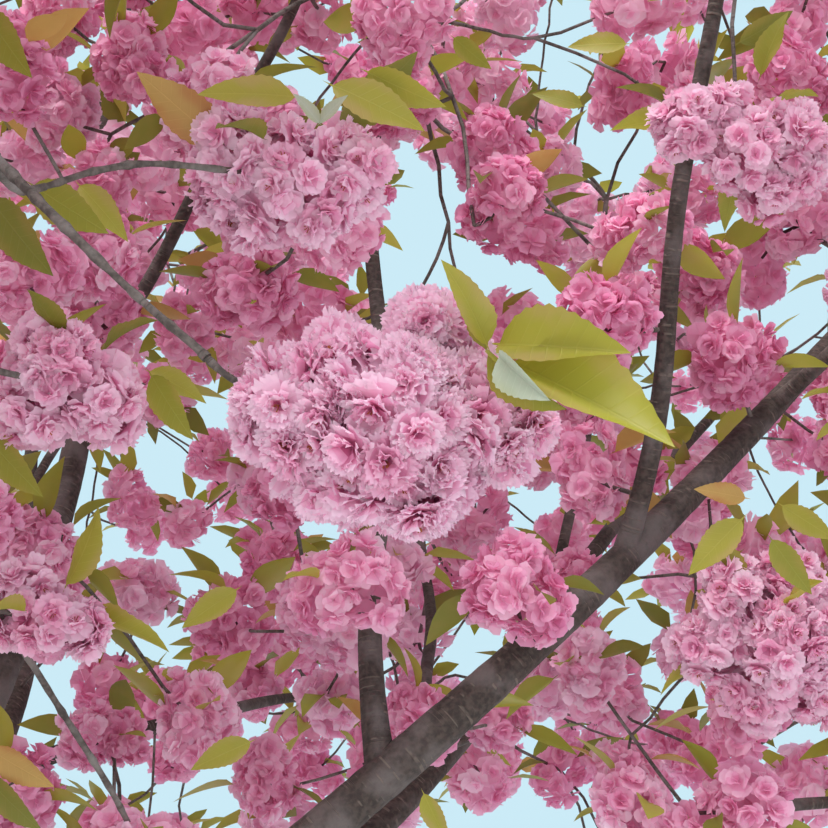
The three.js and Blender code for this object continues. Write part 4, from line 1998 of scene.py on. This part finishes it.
@dataclass
class Scatter:
    """Sets small forms on points and joins them into one mesh, coloured by tone."""

    name: str
    forms: Sequence[Any]
    finishes: Sequence[Finish]
    apart: int = 0
    unevenness: float = 0.08
    seed: int = 5

    def __post_init__(self) -> None:
        """Makes the forms and the tree."""
        self.models = bpy.data.collections.new(self.name + "_forms")
        bpy.context.scene.collection.children.link(self.models)
        for k, form in enumerate(self.forms):
            self.models.objects.link(form.make(f"{self.name}_form_{k:02d}"))
        self.tree = self.build()

    def build(self) -> bpy.types.NodeTree:
        """Builds the tree: a form on each point, turned and sized, joined and coloured.

        Returns:
            The tree.
        """
        work, inputs = start_tree(self.name, Unevenness="Float", Seed="Int")
        uneven = Wire(work, inputs.outputs["Unevenness"])
        forms = work.node("GeometryNodeCollectionInfo", None, {
            "Collection": self.models, "Separate Children": True, "Reset Children": True,
        })
        first = work.node("FunctionNodeAlignRotationToVector", {"axis": "X"}, {
            "Vector": work.attribute("course", "FLOAT_VECTOR"),
        })
        turned = work.node(
            "FunctionNodeAlignRotationToVector", {"axis": "Z", "pivot_axis": "X"},
            {"Rotation": first.outputs[0], "Vector": work.attribute("facing", "FLOAT_VECTOR")},
        )
        factor = work.wire("FunctionNodeRandomValue", {"data_type": "FLOAT"}, {
            2: 1 - uneven, 3: 1 + uneven, "Seed": inputs.outputs["Seed"],
        }, 1)
        size = factor * work.attribute("width", "FLOAT")
        placed = work.node("GeometryNodeInstanceOnPoints", None, {
            "Points": inputs.outputs["Geometry"],
            "Instance": forms.outputs[0],
            "Pick Instance": True,
            "Instance Index": work.attribute("kind", "INT"),
            "Rotation": turned.outputs[0],
            "Scale": size,
        })
        joined = work.node("GeometryNodeRealizeInstances", None, {"Geometry": placed.outputs[0]})
        last = work.node("GeometryNodeSetShadeSmooth", None, {0: joined.outputs[0]})
        plain = work.attribute("tone", "INT")
        tone = work.math("MAXIMUM", plain + work.attribute("shade", "INT"), 0)
        most = len(self.finishes) - 1 - self.apart
        is_apart = work.math("GREATER_THAN", plain, Tone.THREAD / 2)
        tone = work.math("MINIMUM", tone, most) * (1 - is_apart) + is_apart * (most + 1)
        for k, finish in enumerate(self.finishes):
            chosen = work.wire(
                "FunctionNodeCompare", {"data_type": "INT", "operation": "EQUAL"}, {2: tone, 3: k}
            )
            last = work.node("GeometryNodeSetMaterial", None, {
                "Geometry": last.outputs[0], "Selection": chosen, "Material": finish.material(),
            })
        work.node("NodeGroupOutput", None, {0: last.outputs[0]})
        return work.tree

    def spread(self, name: str, points: Points) -> bpy.types.Object:
        """Makes one piece from its points."""
        values = {"Unevenness": self.unevenness, "Seed": self.seed}
        return run_tree(points.make(name + "_points"), self.tree, name, values)

    def clear(self) -> None:
        """Removes the forms, which aren't part of the tree."""
        for model in list(self.models.objects):
            bpy.data.objects.remove(model)
        bpy.data.collections.remove(self.models)


def sphere_points(count: int, random: np.random.Generator) -> Array:
    """Spreads points evenly over a unit sphere, turned and shaken a little.

    Args:
        count: how many points to spread.
        random: the stream to draw from.

    Returns:
        The points.
    """
    i = np.arange(count) + 0.5
    z = 1 - 2 * i / count
    a = math.pi * (1 + 5**0.5) * i + random.uniform(0, 2 * math.pi)
    out = np.sqrt(1 - z * z)
    points = np.stack([out * np.cos(a), out * np.sin(a), z], 1)
    points += random.normal(0, 0.6 / math.sqrt(count), points.shape)
    return unit(points)


@dataclass
class Blossom:
    """Deals double flowers out over each spray."""

    outlook: Outlook
    room: Room
    random: np.random.Generator
    # One value for each Detail, from NEAREST to FAR
    crowding: tuple[float, ...] = (1.55, 1.4, 1.1, 1.0)
    widths: tuple[float, ...] = (0.059, 0.059, 0.058, 0.075)
    tilt: tuple[float, ...] = (0.34, 0.28, 0.24, 0.24)
    turned_away: tuple[float, ...] = (-1.1, -0.7, -0.25, 0.0)
    # One value for all
    droop: float = 0.1
    depth_share: float = 0.32
    core_share: float = 0.64
    core_crowding: float = 0.6
    core_width: float = 0.75
    # How many balls a spray has, and their spread and size as shares of its radius
    near_balls: tuple[int, float, float] = (6, 0.5, 0.52)
    large_balls: tuple[int, float, float] = (3, 0.4, 0.68)
    large_radius: float = 0.08
    ball_sizes: tuple[float, float] = (0.88, 1.1)
    lowest_place: float = 0.86
    highest_place: float = 1.05
    overlap: float = 0.82
    shades: tuple[float, ...] = (0.3, 0.4, 0.3)
    own_shades: tuple[float, ...] = (0.2, 0.6, 0.2)

    def lobes(self, spray: Spray) -> list[tuple[Array, float]]:
        """Lists the balls that make up a spray.

        Args:
            spray: the spray.

        Returns:
            Their offsets and radii.
        """
        if spray.shown in SPRAY_LOBES:
            right, lift, look = np.array([1.0, 0, 0]), self.outlook.lift, self.outlook.look
            return [
                (right * x + lift * y + look * z, r)
                for x, y, z, r in SPRAY_LOBES[spray.shown]
            ]
        if spray.detail == Detail.NEAR:
            count, spread, size = self.near_balls
        elif spray.radius > self.large_radius:
            count, spread, size = self.large_balls
        else:
            return [(np.zeros(3), spray.radius)]
        offsets = sphere_points(count, self.random) * spray.radius * spread
        offsets[:, 2] *= spray.high
        sizes = spray.radius * size * self.random.uniform(*self.ball_sizes, count)
        return list(zip(offsets, sizes))

    def forms(self, detail: Detail, facing: Array, toward: Array) -> Array:
        """Picks a form for each flower.

        Args:
            detail: how finely the spray is made.
            facing: the flowers' axes.
            toward: the way to the eye.

        Returns:
            The forms' indices, plain ones where a flower is turned away from the eye.
        """
        picks = []
        for level in (detail, Detail.FAR):
            kinds, shares = zip(*FORM_SHARES[level])
            picks.append(self.random.choice(kinds, len(facing), p=shares))
        return np.where(facing @ toward > self.turned_away[detail], picks[0], picks[1])

    def shell(self, spray: Spray, ball: tuple[Array, float], others: Sequence[tuple[Array, float]],
              share: float, crowding: float) -> tuple[Array, Array]:
        """Spreads flowers over one ball, outside the others.

        Args:
            spray: the spray.
            ball: the ball's offset and radius.
            others: the spray's other balls.
            share: how much of the ball's radius the shell has.
            crowding: how many times the flowers would cover it.

        Returns:
            The flowers' places from the spray's centre, and their axes.
        """
        offset, radius = ball
        radius = radius * share
        # The ball's surface is as large as this many flowers' discs
        discs = 16 * (radius / self.widths[spray.detail]) ** 2
        count = max(4, round(crowding * discs))
        way = sphere_points(count, self.random)
        lift = self.random.uniform(self.lowest_place, self.highest_place, (count, 1))
        place = offset + way * radius * lift
        free = np.ones(count, bool)
        for other, size in others:
            free &= lengths(place - other) > size * self.overlap * share
        way, place = way[free], place[free]
        shake = self.random.normal(0, self.tilt[spray.detail], way.shape)
        return place, unit(way - UP * self.droop + shake)

    def flowers(self, spray: Spray, points: Points) -> None:
        """Deals flowers out over one spray.

        Args:
            spray: the spray.
            points: the places to add to.
        """
        balls = self.lobes(spray)
        width = self.widths[spray.detail]
        common = self.random.choice((-1, 0, 1), p=self.shades)
        if spray.shown:
            common = 0
        toward = unit(self.outlook.eye - spray.point)
        layers = [(1.0, self.crowding[spray.detail], spray.detail)]
        if spray.detail <= Detail.NEAR:
            layers.append((self.core_share, self.core_crowding, Detail.FAR))
        for share, crowding, level in layers:
            size = width if level == spray.detail else width * self.core_width
            for ball in balls:
                others = [b for b in balls if b is not ball]
                place, facing = self.shell(spray, ball, others, share, crowding)
                place = spray.point + place - facing * width * self.depth_share
                fit = self.room.holds(place, width / 2)
                place, facing = place[fit], facing[fit]
                count = len(place)
                if not count:
                    continue
                course = unit(np.cross(facing, self.random.normal(0, 1, (count, 3))))
                kind = self.forms(level, facing, toward)
                shade = common + self.random.choice((-1, 0, 1), count, p=self.own_shades)
                # The inner layer of flowers, hidden inside the spray, is one tone deeper: painted
                # shade inside the cluster
                if level != spray.detail:
                    shade = shade + 1
                points.add(place, facing, course, np.full(count, size), kind, shade)


# The nearest sprays' parts: right, up and ahead of the centre as one looks at it, and radius
SPRAY_LOBES = {
    "hero": (
        (0.0, -0.004, 0.0, 0.086), (-0.078, 0.006, 0.01, 0.062), (0.088, 0.0, 0.01, 0.053),
        (0.033, 0.08, 0.012, 0.036), (0.026, -0.052, -0.005, 0.052), (-0.036, 0.034, 0.0, 0.054),
        (0.05, 0.03, 0.02, 0.06), (-0.04, -0.045, 0.01, 0.05),
    ),
    "low_left": (
        (-0.032, 0.042, 0.0, 0.042), (0.0, -0.004, 0.0, 0.05), (0.05, -0.012, 0.01, 0.044),
        (-0.045, -0.002, 0.01, 0.042),
    ),
    "upper_left": (
        (-0.06, 0.02, 0.0, 0.066), (0.0, 0.0, 0.0, 0.072), (0.07, 0.012, 0.01, 0.058),
        (-0.03, -0.04, 0.01, 0.05), (0.03, -0.035, 0.0, 0.048), (-0.085, -0.02, 0.02, 0.04),
    ),
    "upper_right": (
        (-0.072, 0.008, 0.0, 0.054), (0.015, -0.035, 0.0, 0.066), (0.08, -0.012, 0.01, 0.058),
        (0.05, -0.085, 0.02, 0.052), (0.105, -0.06, 0.02, 0.046), (-0.015, 0.028, 0.01, 0.05),
    ),
    "right": (
        (-0.045, 0.085, 0.0, 0.062), (0.055, 0.095, 0.02, 0.06), (-0.075, 0.0, 0.0, 0.068),
        (0.03, 0.01, -0.02, 0.085), (0.115, 0.03, 0.01, 0.07), (0.0, -0.08, 0.0, 0.062),
        (0.09, -0.07, 0.01, 0.062),
    ),
}


@dataclass
class Foliage:
    """Sets young leaves round each spray."""

    room: Room
    random: np.random.Generator
    # One value for each Detail, from NEAREST to FAR
    counts: tuple[int, ...] = (0, 4, 4, 5)
    shortest: float = 0.085
    longest: float = 0.135
    root_share: float = 0.7
    lowest_pitch: float = -20
    highest_pitch: float = 70
    turn: float = 137.5
    scatter: float = 0.25
    nod: float = 0.15
    tilt: float = 0.5
    least_room: float = 0.02
    alike: float = 0.55
    tint_shares: tuple[float, ...] = (0.3, 0.36, 0.24, 0.1)

    def leaves(self, spray: Spray, points: Points) -> None:
        """Deals leaves out round one spray.

        Args:
            spray: the spray.
            points: the places to add to.
        """
        if not self.counts[spray.detail]:
            return
        count = self.counts[spray.detail] + int(self.random.integers(-1, 2))
        azimuth = self.random.uniform(0, 360) + np.arange(count) * self.turn
        pitch = self.random.uniform(self.lowest_pitch, self.highest_pitch, count)
        way = np.array([heading(a, p) for a, p in zip(azimuth, pitch)])
        place = spray.point + way * spray.radius * self.root_share
        course = unit(way + self.random.normal(0, self.scatter, (count, 3)) - UP * self.nod)
        facing = unit(UP + self.random.normal(0, self.tilt, (count, 3)))
        width = self.random.uniform(self.shortest, self.longest, count)
        forms, shares = zip(*LEAF_SHARES[spray.detail])
        kind = self.random.choice(forms, count, p=shares)
        common = int(self.random.choice(4, p=self.tint_shares))
        other = self.random.choice(4, count, p=self.tint_shares)
        shade = np.where(self.random.random(count) < self.alike, common, other)
        fit = self.room.holds(place + course * width[:, None], self.least_room)
        points.add(place[fit], facing[fit], course[fit], width[fit], kind[fit], shade[fit])


# Sprays seen in the frame: places across and down it, and their radius there
SEEN_SPRAYS = (
    (60, 15, 48), (130, 65, 50), (62, 110, 48), (28, 165, 40), (185, 28, 42), (250, 12, 40),
    (320, 10, 42), (405, 22, 54), (442, 62, 44), (505, 18, 40), (490, 88, 42), (550, 125, 30),
    (620, 92, 40), (665, 62, 38), (700, 112, 40), (748, 128, 44), (790, 85, 48), (770, 160, 38),
    (800, 22, 42), (545, 175, 38), (500, 205, 52), (530, 240, 40), (640, 240, 52),
    (640, 300, 45), (735, 360, 52), (755, 265, 40), (800, 225, 42), (700, 300, 36),
    (590, 265, 30), (250, 350, 36), (185, 325, 38), (135, 270, 36), (215, 270, 34),
    (96, 252, 54), (95, 190, 50), (48, 552, 51), (20, 528, 30), (106, 736, 46), (172, 700, 36),
    (135, 592, 42), (105, 690, 40), (130, 500, 34), (192, 520, 31), (230, 620, 46),
    (268, 545, 32), (350, 640, 42), (335, 590, 40), (395, 560, 42), (22, 802, 40),
    (450, 575, 34), (515, 590, 62), (590, 530, 32), (610, 700, 42), (555, 680, 40),
    (490, 725, 46), (480, 775, 40), (265, 785, 46), (186, 757, 34), (415, 690, 30),
    (690, 650, 38), (645, 812, 56), (735, 815, 58), (790, 770, 38), (800, 440, 32),
    (745, 700, 50), (560, 770, 36), (330, 700, 40), (250, 690, 38), (400, 120, 40),
)
# Those of them that may overlap a bough that stays in sight
OVERLAPPING_SPRAYS = ((350, 584, 60), (700, 268, 44), (392, 96, 50), (640, 470, 40), (418, 640, 38))
# The way that twigs take to the nearest sprays: places across and down the frame, and depths
ROUTES = {
    "hero": ((60, 222, 1.44), (128, 288, 1.41), (190, 342, 1.38), (250, 388, 1.36)),
    "upper_left": ((22, 190, 1.6), (100, 170, 1.68), (165, 164, 1.74)),
    "left": ((-70, 235, 1.56), (-75, 320, 1.7), (-20, 365, 1.85)),
    "low": (
        (-90, 300, 1.6), (-100, 440, 1.8), (-58, 545, 2.0), (3, 620, 2.1), (62, 712, 2.17),
        (112, 792, 2.24),
    ),
    "low_left": ((-95, 300, 1.6), (-120, 420, 1.75), (-95, 540, 1.95), (-30, 600, 2.05)),
}
# Small gaps of sky: degrees right and up of the view's middle, and half their width
SMALL_SKY_GAPS = (
    (4.3, -3.2, 0.8), (1.5, -8.3, 0.8), (-14.3, -10.5, 1.1), (7.4, 9.2, 1.0), (-12.6, -3.2, 0.9),
    (14.0, 3.5, 0.8), (5.4, -13.8, 0.8), (5.6, 13.1, 1.0), (-9.2, -1.8, 1.0), (0.6, 4.6, 1.5),
    (-4.6, 12.4, 0.9), (1.7, 6.4, 0.6), (-2.1, 5.1, 0.6), (-12.5, -4.2, 0.8), (0.4, -8.5, 0.6),
    (-10.6, -8.0, 0.9),
)


@dataclass(frozen=True)
class SeenLeaf:
    """A leaf placed in the view: root and tip as across, down and depth, roll, form, tint."""

    root: tuple[float, float, float]
    tip: tuple[float, float, float]
    roll: float
    form: int
    tint: Tint


SEEN_LEAVES = (
    SeenLeaf((500, 345, 1.35), (626, 348, 1.25), -28, 2, Tint.LIME),
    SeenLeaf((514, 364, 1.33), (661, 433, 1.23), -32, 2, Tint.LIME),
    SeenLeaf((489, 350, 1.32), (561, 412, 1.25), 64, 2, Tint.GREEN),
    SeenLeaf((500, 347, 1.36), (560, 358, 1.38), 10, 1, Tint.BRONZE),
    SeenLeaf((486, 344, 1.33), (451, 259, 1.31), 30, 1, Tint.LIME),
    SeenLeaf((487, 348, 1.345), (476, 286, 1.35), -35, 2, Tint.GREEN),
    SeenLeaf((500, 356, 1.25), (545, 400, 1.19), 42, 2, Tint.SILVER),
    SeenLeaf((294, 97, 1.80), (196, 88, 1.76), 30, 0, Tint.LIME),
    SeenLeaf((333, 86, 1.80), (421, 124, 1.78), -20, 0, Tint.LIME),
    SeenLeaf((368, 72, 1.86), (440, 108, 1.84), 25, 1, Tint.LIME),
    SeenLeaf((319, 123, 1.78), (295, 92, 1.76), 35, 0, Tint.SILVER),
    SeenLeaf((320, 123, 1.78), (347, 92, 1.76), -35, 0, Tint.SILVER),
    SeenLeaf((34, 186, 1.72), (103, 232, 1.68), 10, 0, Tint.GREEN),
    SeenLeaf((80, 186, 1.76), (130, 240, 1.74), -15, 1, Tint.LIME),
    SeenLeaf((-8, 200, 1.72), (44, 272, 1.68), 20, 0, Tint.OLIVE),
    SeenLeaf((-14, 12, 2.0), (25, 74, 1.96), 20, 0, Tint.GREEN),
    SeenLeaf((152, 376, 1.98), (190, 442, 1.94), 20, 0, Tint.GREEN),
    SeenLeaf((150, 372, 2.0), (207, 398, 1.98), -30, 1, Tint.LIME),
    SeenLeaf((-10, 440, 2.0), (38, 497, 1.96), 15, 0, Tint.GREEN),
    SeenLeaf((-8, 750, 2.0), (52, 790, 1.96), 10, 0, Tint.BRONZE),
    SeenLeaf((-14, 776, 2.0), (36, 832, 1.96), 20, 0, Tint.OLIVE),
    SeenLeaf((236, 590, 2.5), (181, 627, 2.46), 15, 0, Tint.LIME),
    SeenLeaf((250, 742, 2.5), (191, 768, 2.46), 25, 0, Tint.LIME),
    SeenLeaf((626, 44, 2.6), (565, 44, 2.6), 20, 0, Tint.LIME),
    SeenLeaf((454, 38, 2.5), (492, 71, 2.48), 25, 0, Tint.GREEN),
    SeenLeaf((582, 106, 2.6), (536, 92, 2.6), 25, 0, Tint.GREEN),
    SeenLeaf((745, 498, 2.3), (697, 488, 2.28), 20, 0, Tint.BRONZE),
    SeenLeaf((741, 520, 2.3), (690, 572, 2.28), 20, 0, Tint.LIME),
    SeenLeaf((772, 540, 2.26), (812, 597, 2.24), 20, 0, Tint.GREEN),
    SeenLeaf((783, 506, 2.3), (834, 540, 2.28), 20, 0, Tint.LIME),
    SeenLeaf((740, 42, 2.3), (798, 10, 2.28), 25, 0, Tint.OLIVE),
    SeenLeaf((424, 794, 2.3), (446, 842, 2.28), 20, 0, Tint.LIME),
)


@dataclass
class Crownwork:
    """Everything beyond the limbs' tips: twigs, leaves and flowers, bough by bough."""

    limbs: list[Limb]
    outlook: Outlook
    spaces: Spaces
    crown: Crown
    coarse: SprayRule = SprayRule(7, 16000, 0.435, 0.155, 0.19, 1.04, 0.62)
    fine: SprayRule = SprayRule(11, 30000, 0.275, 0.085, 0.12, 0.5, 0.42)
    usual_radius: float = 0.095
    nearest_depth: float = 2.42
    farthest_depth: float = 4.6
    least_radius: float = 0.06
    most_radius: float = 0.16
    seen_depth: float = 3.3
    seen_edge: float = 70
    open_depth: float = 2.5
    twig_sides: int = 5
    twig_relief: float = 0.12
    near_sides: int = 9
    near_relief: float = 0.4
    near_edge: float = 40
    depth_step: float = 0.04
    least_gap: float = 0.8
    low_place: tuple[float, float, float] = (142, 852, 2.3)
    low_radius: float = 0.09

    def __post_init__(self) -> None:
        """Sows the sprays and joins each to its stem."""
        placed = self.hanging()
        coarse = self.coarse.sow(self.crown, self.spaces, self.outlook, placed)
        low = self.outlook.seen(*self.low_place)
        own = int(self.spaces.nearest_stem(low[None])[0])
        placed.append(Spray(low, self.low_radius, self.fine.high, own, Detail.SEEN, "low"))
        self.place_seen(placed)
        self.outlook.sky_gaps += SMALL_SKY_GAPS
        self.outlook.clear_depth = self.nearest_depth
        self.sprays = self.fine.sow(self.crown, self.spaces, self.outlook, placed)
        for spray in self.sprays:
            self.set_detail(spray)
        random = np.random.default_rng(TWIG_SEED)
        blooming = {id(spray) for spray in self.sprays}
        linked = {id(spray) for spray in coarse}
        self.twigs = []
        for own, limb in enumerate(self.limbs):
            twigs = Twigs(limb, self.spaces, self.outlook, own, random, self.routes())
            mine = [s for s in coarse if s.own == own]
            free = [s for s in mine if s.shown or not self.is_before_view(s)]
            twigs.link(free, 3, twigs.coarse_gap)
            new = [s for s in self.sprays if s.own == own and id(s) not in linked]
            twigs.link(new, 1, twigs.fine_gap)
            twigs.count(blooming)
            self.twigs.append(twigs)
        log.info("%d sprays on %d stems", len(self.sprays), len(self.twigs))

    def is_before_view(self, spray: Spray) -> bool:
        """Says whether a spray would show so near that twigs to it would stand out."""
        return bool(self.outlook.shows(spray.point, self.open_depth, self.near_edge)[0])

    def hanging(self) -> list[Spray]:
        """Makes the sprays that hang into the view.

        Returns:
            The sprays.
        """
        points = np.array([h.centre for h in HANGING_SPRAYS])
        own = self.spaces.nearest_stem(points)
        return [
            Spray(
                p, h.width / 2, h.height / h.width, int(k),
                Detail.NEAREST if h.name == "hero" else Detail.NEAR, h.name,
            )
            for p, h, k in zip(points, HANGING_SPRAYS, own)
        ]

    def place_seen(self, placed: list[Spray]) -> None:
        """Adds the sprays seen in the frame, each at the likeliest depth that is permitted.

        Args:
            placed: the sprays so far, which the new ones join.
        """
        depths = np.arange(self.nearest_depth, self.farthest_depth, self.depth_step)
        for across, down, size in OVERLAPPING_SPRAYS + SEEN_SPRAYS:
            usual = self.usual_radius * self.outlook.focal / size
            order = depths[np.argsort(np.abs(depths - usual), kind="stable")]
            points = np.array([self.outlook.seen(across, down, d) for d in order])
            radii = size * order / self.outlook.focal
            own, fit = self.fine.permitted(points, radii, self.spaces)
            if (across, down, size) not in OVERLAPPING_SPRAYS:
                fit &= ~self.outlook.hides_bough(points, radii)
            fit &= (radii > self.least_radius) & (radii < self.most_radius)
            taken = np.array([p.point for p in placed])
            room = np.array([p.radius for p in placed])
            gaps = lengths(points[:, None] - taken[None])
            fit &= (gaps > self.least_gap * (room[None] + radii[:, None])).all(1)
            if fit.any():
                k = int(np.argmax(fit))
                placed.append(Spray(points[k], float(radii[k]), self.fine.high, int(own[k])))

    def routes(self) -> dict[str, Array]:
        """Returns the way that the twigs take to the nearest sprays."""
        view = self.outlook.seen
        return {name: np.array([view(*place) for place in way]) for name, way in ROUTES.items()}

    def set_detail(self, spray: Spray) -> None:
        """Decides how finely a spray is made, by its place in the view.

        Args:
            spray: the spray.
        """
        if spray.shown:
            return
        in_view = self.outlook.shows(spray.point, self.seen_depth, self.seen_edge)[0]
        spray.detail = Detail.SEEN if in_view else Detail.FAR

    def seen_leaves(self) -> Points:
        """Places the leaves that are seen in the view.

        Returns:
            Their points.
        """
        points = Points()
        for leaf in SEEN_LEAVES:
            root, tip = self.outlook.seen(*leaf.root), self.outlook.seen(*leaf.tip)
            course = unit(tip - root)
            flat = unit(np.cross(course, self.outlook.look))
            face = np.cross(flat, course)
            face = face if face @ self.outlook.look < 0 else -face
            a = math.radians(leaf.roll)
            facing = face * math.cos(a) + np.cross(course, face) * math.sin(a)
            length = np.array([np.linalg.norm(tip - root)])
            points.add(root[None], facing[None], course[None], length,
                       np.array([leaf.form]), np.array([int(leaf.tint)]))
        return points

    def build(self, rods: RodWork) -> list[bpy.types.Object]:
        """Makes the twigs, flowers and leaves.

        Args:
            rods: what makes round wood.

        Returns:
            The pieces, each of which stands for the masses of its bough.
        """
        flowers = Scatter("flowers", FLOWER_FORMS, PETALS, 1)
        leaves = Scatter("leaves", LEAF_FORMS, LEAVES)
        near_leaves = Scatter("near_leaves", LEAF_FORMS, NEAR_LEAVES)
        room = Room(*np.array(CAD_BOX))
        blossom = Blossom(self.outlook, room, np.random.default_rng(FLOWER_SEED))
        foliage = Foliage(room, np.random.default_rng(LEAF_SEED))
        close, close_petals = self.seen_leaves(), Points()
        pieces = []
        for bough in BOUGHS:
            mine = [k for k, limb in enumerate(self.limbs) if limb.bough == bough.name]
            masses = [self.limbs[k].mass for k in mine]
            lines = [rod for k in mine for rod in self.twigs[k].rods(False)]
            twigs = rods.make(f"twigs_{bough.name}", lines, self.twig_sides, self.twig_relief)
            petals, blades = Points(), Points()
            for spray in (s for s in self.sprays if s.own in mine):
                near = spray.detail <= Detail.NEAR
                blossom.flowers(spray, close_petals if near else petals)
                foliage.leaves(spray, close if near else blades)
            flower = flowers.spread(f"flowers_{bough.name}", petals)
            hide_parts(*masses)
            pieces += [twigs, flower, leaves.spread(f"leaves_{bough.name}", blades)]
        close_twigs = [rod for twigs in self.twigs for rod in twigs.rods(True)]
        pieces.append(rods.make("twigs_near", close_twigs, self.near_sides, self.near_relief))
        pieces.append(flowers.spread("flowers_near", close_petals))
        pieces.append(near_leaves.spread("leaves_near", close))
        for scatter in (flowers, leaves, near_leaves):
            scatter.clear()
        return pieces


@dataclass
class Studio:
    """The floor, the light and the camera."""

    outlook: Outlook
    floor_size: float = 300
    sky: Colour = (0.60, 0.83, 0.93)
    sky_strength: float = 1.0
    sensor: float = 36
    nearest: float = 0.05
    farthest: float = 200
    floor: Finish = PlainFinish("pale_floor", (0.68, 0.675, 0.665))
    suns: tuple[tuple[float, float, float, float, Colour], ...] = (
        (-116, 56, 4.3, 36, (1.0, 0.96, 0.94)),
        (-78, 14, 0.9, 70, (1.0, 0.84, 0.88)),
    )

    def lay_floor(self) -> None:
        """Lays a plain pale floor at the foot of the trunk."""
        h = self.floor_size / 2
        mesh = bpy.data.meshes.new("floor")
        mesh.from_pydata([(-h, -h, 0), (h, -h, 0), (h, h, 0), (-h, h, 0)], [], [(0, 1, 2, 3)])
        mesh.materials.append(self.floor.material())
        add_object("floor", mesh)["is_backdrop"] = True

    def light(self) -> None:
        """Lights the tree by a pale sky and two soft lamps."""
        world = bpy.data.worlds.new("pale_sky")
        world.use_nodes = True
        world.node_tree.nodes.clear()
        work = NodeWork(world.node_tree)
        sky = work.node("ShaderNodeBackground", None, {
            "Color": rgba(self.sky), "Strength": self.sky_strength,
        })
        work.node("ShaderNodeOutputWorld", None, {0: sky.outputs[0]})
        bpy.context.scene.world = world
        for k, (azimuth, height, strength, softness, colour) in enumerate(self.suns):
            lamp = bpy.data.lights.new(f"soft_light_{k}", "SUN")
            lamp.energy = strength
            lamp.angle = math.radians(softness)
            lamp.color = colour
            made = add_object(lamp.name, lamp)
            made.rotation_euler = (math.radians(90 - height), 0, math.radians(azimuth + 90))

    def place_camera(self) -> None:
        """Places the camera at the eye, with the view's own angle."""
        data = bpy.data.cameras.new("camera")
        data.sensor_width = self.sensor
        data.lens = self.sensor / 2 / math.tan(math.radians(HALF_VIEW))
        data.clip_start = self.nearest
        data.clip_end = self.farthest
        camera = add_object("camera", data)
        camera.location = self.outlook.eye
        camera.rotation_euler = (math.radians(90 + self.outlook.look_up), 0, 0)
        bpy.context.scene.camera = camera

    def build(self) -> None:
        """Sets the stage."""
        bpy.context.scene.view_settings.view_transform = "Standard"
        self.lay_floor()
        self.light()
        self.place_camera()


def report(piece: bpy.types.Object) -> None:
    """Lets a piece ride on the tree's one body and logs its size.

    Args:
        piece: the piece.
    """
    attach(piece, BODY)
    triangles = sum(len(face.vertices) - 2 for face in piece.data.polygons)
    log.info("%s: %d triangles", piece.name, triangles)


def main() -> None:
    """Builds the tree's bark, then its twigs, leaves and flowers, and then the studio."""
    logging.basicConfig(level=logging.INFO, format="%(name)s: %(message)s")
    limbs = LimbRule().grow(BOUGHS)
    outlook = Outlook(limbs)
    trunk = Trunk().make()
    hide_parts("trunk")
    report(trunk)
    rods = RodWork(BARK)
    wood = BoughWood(rods)
    for bough in BOUGHS:
        mine = [limb for limb in limbs if limb.bough == bough.name]
        piece = wood.make(bough.name, mine, bough.name in NEAR_BOUGHS)
        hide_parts(*(limb.name for limb in mine))
        report(piece)
    crownwork = Crownwork(limbs, outlook, Spaces(limbs), Crown())
    for piece in crownwork.build(RodWork(TWIG_BARK)):
        report(piece)
    Studio(outlook).build()
    sizes = {"cad": CAD_BOX, "visual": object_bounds()}
    {k: [list(c) for c in box] for k, box in sizes.items()}


if __name__ == "__main__":
    main()
